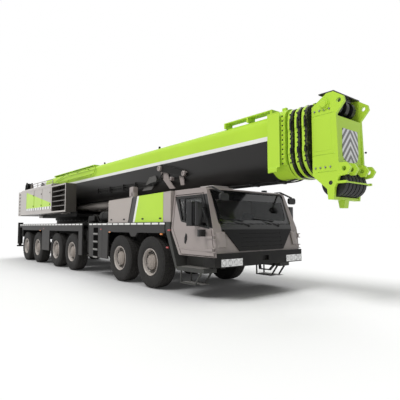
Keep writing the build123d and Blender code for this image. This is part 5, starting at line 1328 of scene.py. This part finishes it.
# rails along the side box's top
railLook = {"rear": -7.3, "front": -4.2, "y": -1.30, "rise": 0.22, "posts": 4, "radius": 0.016, "foot": -0.01}
look = railLook
rear, front, rise, foot = look["rear"], look["front"], look["rise"], look["foot"]
runs = [(1.0, [(rear, foot), (rear, rise - 0.03), (rear + 0.04, rise), (front - 0.04, rise), (front, rise - 0.03),
               (front, foot)])]
for n in range(1, look["posts"] - 1):
    x = rear + (front - rear) * n / (look["posts"] - 1)
    runs.append((0.9, [(x, foot), (x, rise / 2), (x, rise)]))
runs.append((0.8, [(rear, rise / 2), ((rear + front) / 2, rise / 2), (front, rise / 2)]))
rails = [cordRun("rail", atZ(boxHigh[2], atY(look["y"], points)), look["radius"] * share) for share, points in runs]
dressAll("box_rails", rails, "superstructure", "taupePaint")

# side box doors with latches, drawn over the stripes
boxLook = {"doors": [(-7.34, -6.22), (-6.18, -5.06), (-5.02, -3.92)], "low": 2.28, "high": 3.26, "rim": 0.012,
           "latches": (2.52, 3.02), "side": boxLow[1]}
look = boxLook
doors, latches = [], []
for rear, front in look["doors"]:
    rings = [atY(look["side"] + 0.001, [(rear + rim, look["low"] + rim), (front - rim, look["low"] + rim),
                                        (front - rim, look["high"] - rim), (rear + rim, look["high"] - rim)])
             for rim in (0.0, look["rim"])]
    doors.append(traceRing("door", *rings, (0, -0.007, 0)))
    latches += [plaque("latch", (front - 0.10, look["side"] - 0.016, z - 0.03),
                       (front - 0.05, look["side"] + 0.002, z + 0.03), facing('y', -1), 0.008, -0.005, 0.004)
                for z in look["latches"]]
dressAll("side_box_doors", doors, "superstructure", "boxPaint")
dressAll("side_box_latches", latches, "superstructure", "blackPlastic")

# ballast: slots down its sides and lifting ears
ballastLook = {"slots": 7, "first": 0.17, "pitch": 0.165, "columns": (-8.62, -8.47), "earRows": (-8.70, -8.05),
               "earsAcross": (-1.25, -0.80, 0.80, 1.25), "top": 3.33}
look = ballastLook
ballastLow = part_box("counterweight")[0]
wide = abs(ballastLow[1])
heights = [ballastLow[2] + look["first"] + n * look["pitch"] for n in range(look["slots"])]
slots = [sidePlaque("slot", side, (x - 0.025, wide - 0.01, z - 0.05), (x + 0.025, wide + 0.004, z + 0.05),
                    0.006, -0.003) for side in (1, -1) for x in look["columns"] for z in heights]
dressAll("ballast_slots", slots, "superstructure", "gearPaint")
ear = spinProfile("ear", [(-0.018, 0.030), (-0.018, 0.055), (0.018, 0.055), (0.018, 0.030)], (0, 0, 0.035), 16,
                  closed=True)
spots = [moveTo(x, y, look["top"]) for x in look["earRows"] for y in look["earsAcross"]]
dress(spread("ballast_ears", ear, spots), "superstructure", "gearPaint")

# ram: gland ring, port blocks and a pipe along the barrel
barrelLow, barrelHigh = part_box("ram_barrel")
rear, front, top = barrelLow[0] + 0.75, barrelHigh[0] - 0.35, barrelHigh[2]
gland = spinProfile("gland", [(-0.045, 0.112), (-0.045, 0.150), (-0.010, 0.166), (0.010, 0.166), (0.045, 0.150),
                              (0.045, 0.112)], (0, 0, 0), 32, closed=True)
gland.data.transform(moveTo(barrelHigh[0] + 0.03, 0, (barrelLow[2] + top) / 2) @ Matrix.Rotation(math.pi / 2, 4, 'Z'))
pipe = cordRun("pipe", atZ(top, [(rear, -0.05, 0.04), (rear, -0.12, 0.03), (rear + 0.25, -0.13, 0.005),
                                 (front - 0.25, -0.13, 0.005), (front, -0.10, 0.02), (front, -0.05, 0.03)]), 0.014)
ports = [plaque("port", (x - 0.09, -0.06, top - 0.03), (x + 0.09, 0.06, top + 0.05), facing('z'), 0.02, 0.0, 0.008,
                pull=(0, 0, 0.03)) for x in (rear, front)]
dressAll("ram_fittings", [smoothOver(gland), pipe] + ports, "ram_barrel", "gearPaint")

# bolts round the slewing ring's flange
slewLook = {"x": middleOf(*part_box("wheel_4_right"))[0] - 1.35, "circle": 0.94, "count": 36}
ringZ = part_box("turntable")[0][2] + 0.004
spots = [(slewLook["x"] + spot.x, spot.z, ringZ)
         for spot in (place.translation for place in ring(slewLook["circle"], slewLook["count"], 0))]
boltRow("slew_bolts", spots, "superstructure", "steelPaint", 0.018, 0.02, math.pi)

# crane cab glass and seat
craneLow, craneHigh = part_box("crane_cab")
doorLow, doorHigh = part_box("crane_cab_door")
rear, front, sill, lintel = craneLow[0], craneHigh[0], craneLow[2], craneHigh[2] - 0.20
craneLook = {
    "door": [(rear + 0.30, sill + 0.75), (rear + 0.30, lintel), (rear + 0.86, lintel), (rear + 0.86, sill + 0.62)],
    "quarter": [(rear + 0.98, sill + 0.75), (rear + 0.98, lintel), (front - 0.30, lintel), (front - 0.14, sill + 0.62)],
    "front": [(craneLow[1] + 0.10, sill + 0.47), (craneHigh[1] - 0.10, sill + 0.47),
              (craneHigh[1] - 0.10, lintel + 0.07), (craneLow[1] + 0.10, lintel + 0.07)],
    "roof": [(rear + 0.70, craneLow[1] + 0.13), (front - 0.38, craneLow[1] + 0.13),
             (front - 0.38, craneHigh[1] - 0.13), (rear + 0.70, craneHigh[1] - 0.13)],
}


def tracePane(name, points, by):
    return soften(traceOutline(name, points, by), 0.0015)


def layOnFront(piece):
    # a piece drawn at x = 0 is laid on the crane cab's leaning front
    return moveEach(piece, lambda p: (craneHigh[0] - max(0.0, p.z - craneLow[2] - 0.42) * 0.1667 + p.x, p.y, p.z))


look = craneLook
pane = tracePane("crane_door_glass", atY(doorLow[1] + 0.012, grow(look["door"], -0.003)), (0, 0.006, 0))
dress(pane, "crane_cab_door", "cabGlass")
seal = traceSeal("crane_door_seal", look["door"], 0.02, -0.012, atY, doorHigh[1] - 0.002, (0, 0.010, 0))
dress(soften(seal, 0.003), "crane_cab_door", "softRubber")
pane = layOnFront(traceOutline("crane_front_glass", atX(-0.030, grow(look["front"], -0.003)), (0.006, 0, 0)))
dress(soften(pane, 0.0015), "superstructure", "cabGlass")
seal = layOnFront(traceSeal("crane_front_seal", look["front"], 0.02, -0.012, atX, -0.004, (0.012, 0, 0)))
dress(seal, "superstructure", "softRubber")
# the fixed quarter windows ahead of the door, on both sides
panes, seals = [], []
for wall, inward in ((craneHigh[1], -1), (craneLow[1], 1)):
    panes.append(tracePane("pane", atY(wall + inward * 0.026, grow(look["quarter"], -0.003)), (0, inward * 0.006, 0)))
    seals.append(soften(traceSeal("seal", look["quarter"], 0.012, -0.014, atY, wall + inward * 0.002,
                                  (0, -inward * 0.006, 0)), 0.0015))
dressAll("crane_side_glass", panes, "superstructure", "cabGlass")
dressAll("crane_side_seals", seals, "superstructure", "softRubber")
roof = tracePane("crane_roof_glass", [(x, y, craneHigh[2] - 0.03) for x, y in look["roof"]], (0, 0, 0.006))
dress(roof, "superstructure", "cabGlass")
placeSeat("crane", rear + 0.32, (craneLow[1] + craneHigh[1]) / 2, sill + 0.08, "superstructure", 0.50)
print("superstructure dressed")


# chassis: deck gear behind the housing, louvres, side ladders, treads, lamps
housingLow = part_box("engine_housing")[0]
deckTop = housingLow[2]


def makeTank(low, high, y, z, radius):
    # a round vessel lying along x with domed ends and two straps
    length = high - low
    dome = [(0, 0.0), (0.01, radius * 0.55), (0.05, radius * 0.9), (0.09, radius)]
    straps = [(length * share + step, radius + lift) for share in (0.3, 0.7)
              for step, lift in ((0, 0), (0, 0.008), (0.04, 0.008), (0.04, 0))]
    profile = dome + straps + [(length - along, out) for along, out in reversed(dome)]
    shell = spinProfile("tank", profile, (0, 0, 0), 28)
    shell.data.transform(moveTo(low, y, z) @ Matrix.Rotation(-math.pi / 2, 4, 'Z'))
    return smoothOver(shell)


# tanks as (rear, front, out, up, radius), boxes as two corners; heights stand on the deck
gearLook = {"tanks": [(0.42, 1.36, 1.16, 0.22, 0.17), (0.50, 1.30, 0.78, 0.16, 0.12)],
            "valves": [(-0.62, 0.72, -0.01), (-0.12, 1.22, 0.22)], "crate": [(0.62, 0.26, -0.01), (1.38, 0.60, 0.34)]}


def deckBox(name, side):
    low, high = ((x, side * y, deckTop + z) for x, y, z in gearLook[name])
    return startBox(name, low, high)


gear = []
for side in (1, -1):
    gear += [makeTank(low, high, side * y, deckTop + z, radius) for low, high, y, z, radius in gearLook["tanks"]]
    valves = deckBox("valves", side)
    openEdit(valves)
    pickFaces(valves, facing('z'))
    bpy.ops.mesh.subdivide(number_cuts=2)
    pickFaces(valves, facing('z'))
    inset(0.025, 0.045, True)
    closeEdit()
    gear.append(soften(valves, 0.008))
    for n in range(6):
        y, lift = side * (0.74 + 0.085 * n), 0.01 * (n % 3)
        gear.append(cordRun("line", atZ(deckTop, [
            (-0.40, y, 0.20), (-0.38, y, 0.27 + lift), (-0.05, y, 0.28 + lift), (0.10, y, 0.06), (0.30, y, 0.035),
            (0.40, y, 0.05), (0.46, y, 0.16)]), 0.016))
    for n in range(4):
        y = side * (0.80 + 0.12 * n)
        gear.append(cordRun("line", atZ(deckTop, [
            (-0.55, y, 0.10), (-0.75, y, 0.16), (-0.95, y * 0.97, 0.05), (-1.30, y * 0.95, 0.03),
            (-1.9, y * 0.95, 0.03), (-2.0, y * 0.95, -0.01)]), 0.018))
    crate = deckBox("crate", side)
    insetPick(crate, lambda spot, out: abs(out.y) > 0.9 or out.z > 0.9, 0.04, -0.012, True)
    gear.append(soften(crate, 0.012))
dressAll("deck_gear", gear, "carrier", "gearPaint")

# exhaust stack with an open mouth
stackLook = {"rear": 2.685, "front": 2.895, "in": 0.015, "wide": 0.15, "low": 2.44, "high": 2.70}
look = stackLook
y = look["in"] - bodyHalf
stack = plaque("exhaust_stack", (look["rear"], y, look["low"]), (look["front"], y + look["wide"], look["high"]),
               facing('z'), 0.018, 0.0, pull=(0, 0, 0.02))
insetPick(stack, facing('z'), 0.012, -0.09)
dress(soften(stack, 0.014, 3), "carrier", "taupePaint")

# louvres on the housing's rear and latches on its sides
louvreLook = {"x": housingLow[0], "outer": [(1.0, 0.06), (1.0, 0.76)], "inner": [(0.94, 0.10), (0.94, 0.72)],
              "slats": 7, "pitch": 0.085, "latches": (1.62, 2.42, 3.45, 4.30)}
slats = []
for n in range(louvreLook["slats"]):
    z = deckTop + 0.12 + louvreLook["pitch"] * n
    slat = startBox("slat", (louvreLook["x"] - 0.022, -0.92, z), (louvreLook["x"] + 0.004, 0.92, z + 0.05))
    openEdit(slat)
    pickFaces(slat, facing('x', -1))
    bpy.ops.transform.translate(value=(0, 0, -0.025))
    inset(0.006, 0.003)
    closeEdit()
    slats.append(slat)
rings = [atZ(deckTop, atX(louvreLook["x"] - 0.002, [(-low[0], low[1]), low, high, (-high[0], high[1])]))
         for low, high in (louvreLook["outer"], louvreLook["inner"])]
slats.append(soften(traceRing("frame", *rings, (-0.022, 0, 0)), 0.004))
dressAll("housing_louvres", slats, "carrier", "greyTrim")
latches = [sidePlaque("latch", side, (x - 0.045, bodyHalf - 0.002, deckTop + 0.075),
                      (x + 0.045, bodyHalf + 0.014, deckTop + 0.115), 0.008, -0.005, 0.004)
           for side in (1, -1) for x in louvreLook["latches"]]
dressAll("housing_latches", latches, "carrier", "blackPlastic")

# side ladders: near-black plates painted as the shade in the step pockets, with pale treads between them
ladderLook = {"rear": 0.47, "front": 0.81, "low": 0.36, "high": 1.60, "steps": 5, "first": 1, "coverEnd": 1.10}
look = ladderLook
rear, front = look["rear"], look["front"]
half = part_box("carrier_deck")[1][1]
pitch = (look["high"] - look["low"]) / look["steps"]
covers, pocketShades, treads = [], [], []
for side in (1, -1):
    covers.append(sidePlaque("cover", side, (rear - 0.05, half - 0.004, 0.62), (look["coverEnd"], half + 0.003, 1.63),
                             0.012, 0.002))
    for n in range(look["first"], look["steps"]):
        low = look["low"] + n * pitch
        pocketShades.append(sidePlaque("pocket", side, (rear, half + 0.001, low + 0.03),
                                  (front, half + 0.009, low + pitch - 0.045), 0.010, -0.002))
        treads.append(sidePlaque("tread", side, (rear + 0.01, half - 0.002, low - 0.022),
                                 (front - 0.01, half + 0.024, low + 0.028), 0.006, 0.003, 0.004))
dressAll("ladder_covers", covers, "carrier", "deckPaint")
dressAll("ladder_pocket_shade", pocketShades, "carrier", "pocketDark")
dressAll("ladder_treads", treads, "carrier", "treadPaint")


def treadPair(low, high, columns, rows):
    # the same anti-slip plate on both sides, drawn for the left
    plates = []
    for side in (1, -1):
        near, far = sorted((side * low[1], side * high[1]))
        plates.append(treadPlate((low[0], near, low[2]), (high[0], far, high[2]), columns, rows))
    return plates


plates = {
    "step": [((5.20, 1.20, 0.3125), (5.90, 1.40, 0.316), 14, 5), ((5.16, 1.16, 0.6605), (5.94, 1.44, 0.664), 16, 6)],
    "deck": [((rear, 1.26, deckTop + 0.0005), (front, 1.46, deckTop + 0.004), max(4, int((front - rear) / 0.07)), 3)
             for rear, front in ((-8.2, -6.6), (-6.5, -4.9), (-4.8, -3.2), (-3.1, -1.5), (-1.2, -0.7), (0.15, 1.35))],
}
for kind, finish, slot in (("step", "treadPaint", "bright_steel"), ("deck", "gearPaint", "dark_paint")):
    pairs = [treadPair(*plate) for plate in plates[kind]]
    dressAll(f"{kind}_treads", [plate for pair in pairs for plate in pair], "carrier", finish)

# amber side lamps and rear lamp lenses
spots = [(x, side * half, z) for side in (1, -1) for x, z in ((4.43, 1.40), (1.62, 1.42), (-5.05, 1.42))]
sideLamps("amber_lamps", spots, 0.012, 0.014, "amberLens")
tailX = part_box("lamps")[0][0] - 0.001
reds = [part for side in (1, -1) for y in (1.02, 1.15)
        for part in makeLamp(0.045, 0.016, moveTo(tailX, side * y, 1.24) @ Matrix.Rotation(math.pi, 4, 'Z'))]
dressAll("tail_lamps", reds, "carrier", "redLens")
print("chassis dressed")


def seenRays(tree):
    # 1 for the rays that show a thing, 0 for those that light it
    first = fromNode(tree, 'ShaderNodeLightPath', 'Is Camera Ray')
    outputs = first.socket.node.outputs
    return larger(larger(first, nodeValue(outputs['Is Glossy Ray'])), nodeValue(outputs['Is Transmission Ray']))


def makeFloor():
    clearPick()
    bpy.ops.mesh.primitive_plane_add(size=400, location=(0, 0, 0))
    floor = settle("floor")
    tree, shader = startFinish("studioFloor")
    cloud = ramp(speckle(placeIn(tree), 0.35, 3), 0.3, 0.7)
    # painted shadow: the floor's colour darkens where the machine stands close over the ground
    paintedShadow = fromNode(tree, 'ShaderNodeAmbientOcclusion', 'AO', {'Distance': 3.0}, samples=6)
    pale = mixColours(cloud, (0.945, 0.945, 0.945), (0.955, 0.955, 0.955))
    feedAll(shader, {
        'Base Color': mixColours(ramp(paintedShadow, 0.22, 0.80), (0.30, 0.30, 0.30), pale), 'Roughness': 0.9,
        'Specular IOR Level': 0.0, 'Emission Color': (1, 1, 1), 'Emission Strength': seenRays(tree) * 0.025})
    floor.data.materials.append(finishes["studioFloor"])


def makeWorld():
    world = bpy.data.worlds.new("studio")
    bpy.context.scene.world = world
    world.use_nodes = True
    tree = world.node_tree
    tree.nodes.clear()
    light = fromNode(tree, 'ShaderNodeBackground', 0, {'Color': (1, 1, 1), 'Strength': seenRays(tree) * 0.61 + 0.39})
    feed(tree.nodes.new('ShaderNodeOutputWorld').inputs[0], light)


def makeSun(name, toward, strength, spreadAngle):
    lamp = bpy.data.lights.new(name, 'SUN')
    lamp.energy = strength
    lamp.angle = math.radians(spreadAngle)
    holder = bpy.data.objects.new(name, lamp)
    holder.rotation_euler = Vector(toward).to_track_quat('Z', 'Y').to_euler()
    bpy.context.collection.objects.link(holder)


makeFloor()
makeWorld()
makeSun("keyLight", (-0.04, -0.64, 0.77), 2.05, 26)
makeSun("fillLight", (-0.20, 0.55, 0.81), 0.65, 40)

view = {"place": (12.40, -6.85, 1.59), "yaw": 140.4, "pitch": 3.95, "lens": 34.5}
cameraData = bpy.data.cameras.new("camera")
cameraData.lens = view["lens"]
cameraData.sensor_width = 36
cameraData.clip_end = 500
camera = bpy.data.objects.new("camera", cameraData)
camera.location = view["place"]
camera.rotation_euler = (math.radians(90 + view["pitch"]), 0, math.radians(view["yaw"] - 90))
bpy.context.collection.objects.link(camera)
bpy.context.scene.camera = camera
bpy.context.scene.view_settings.view_transform = 'Standard'
print("camera set")
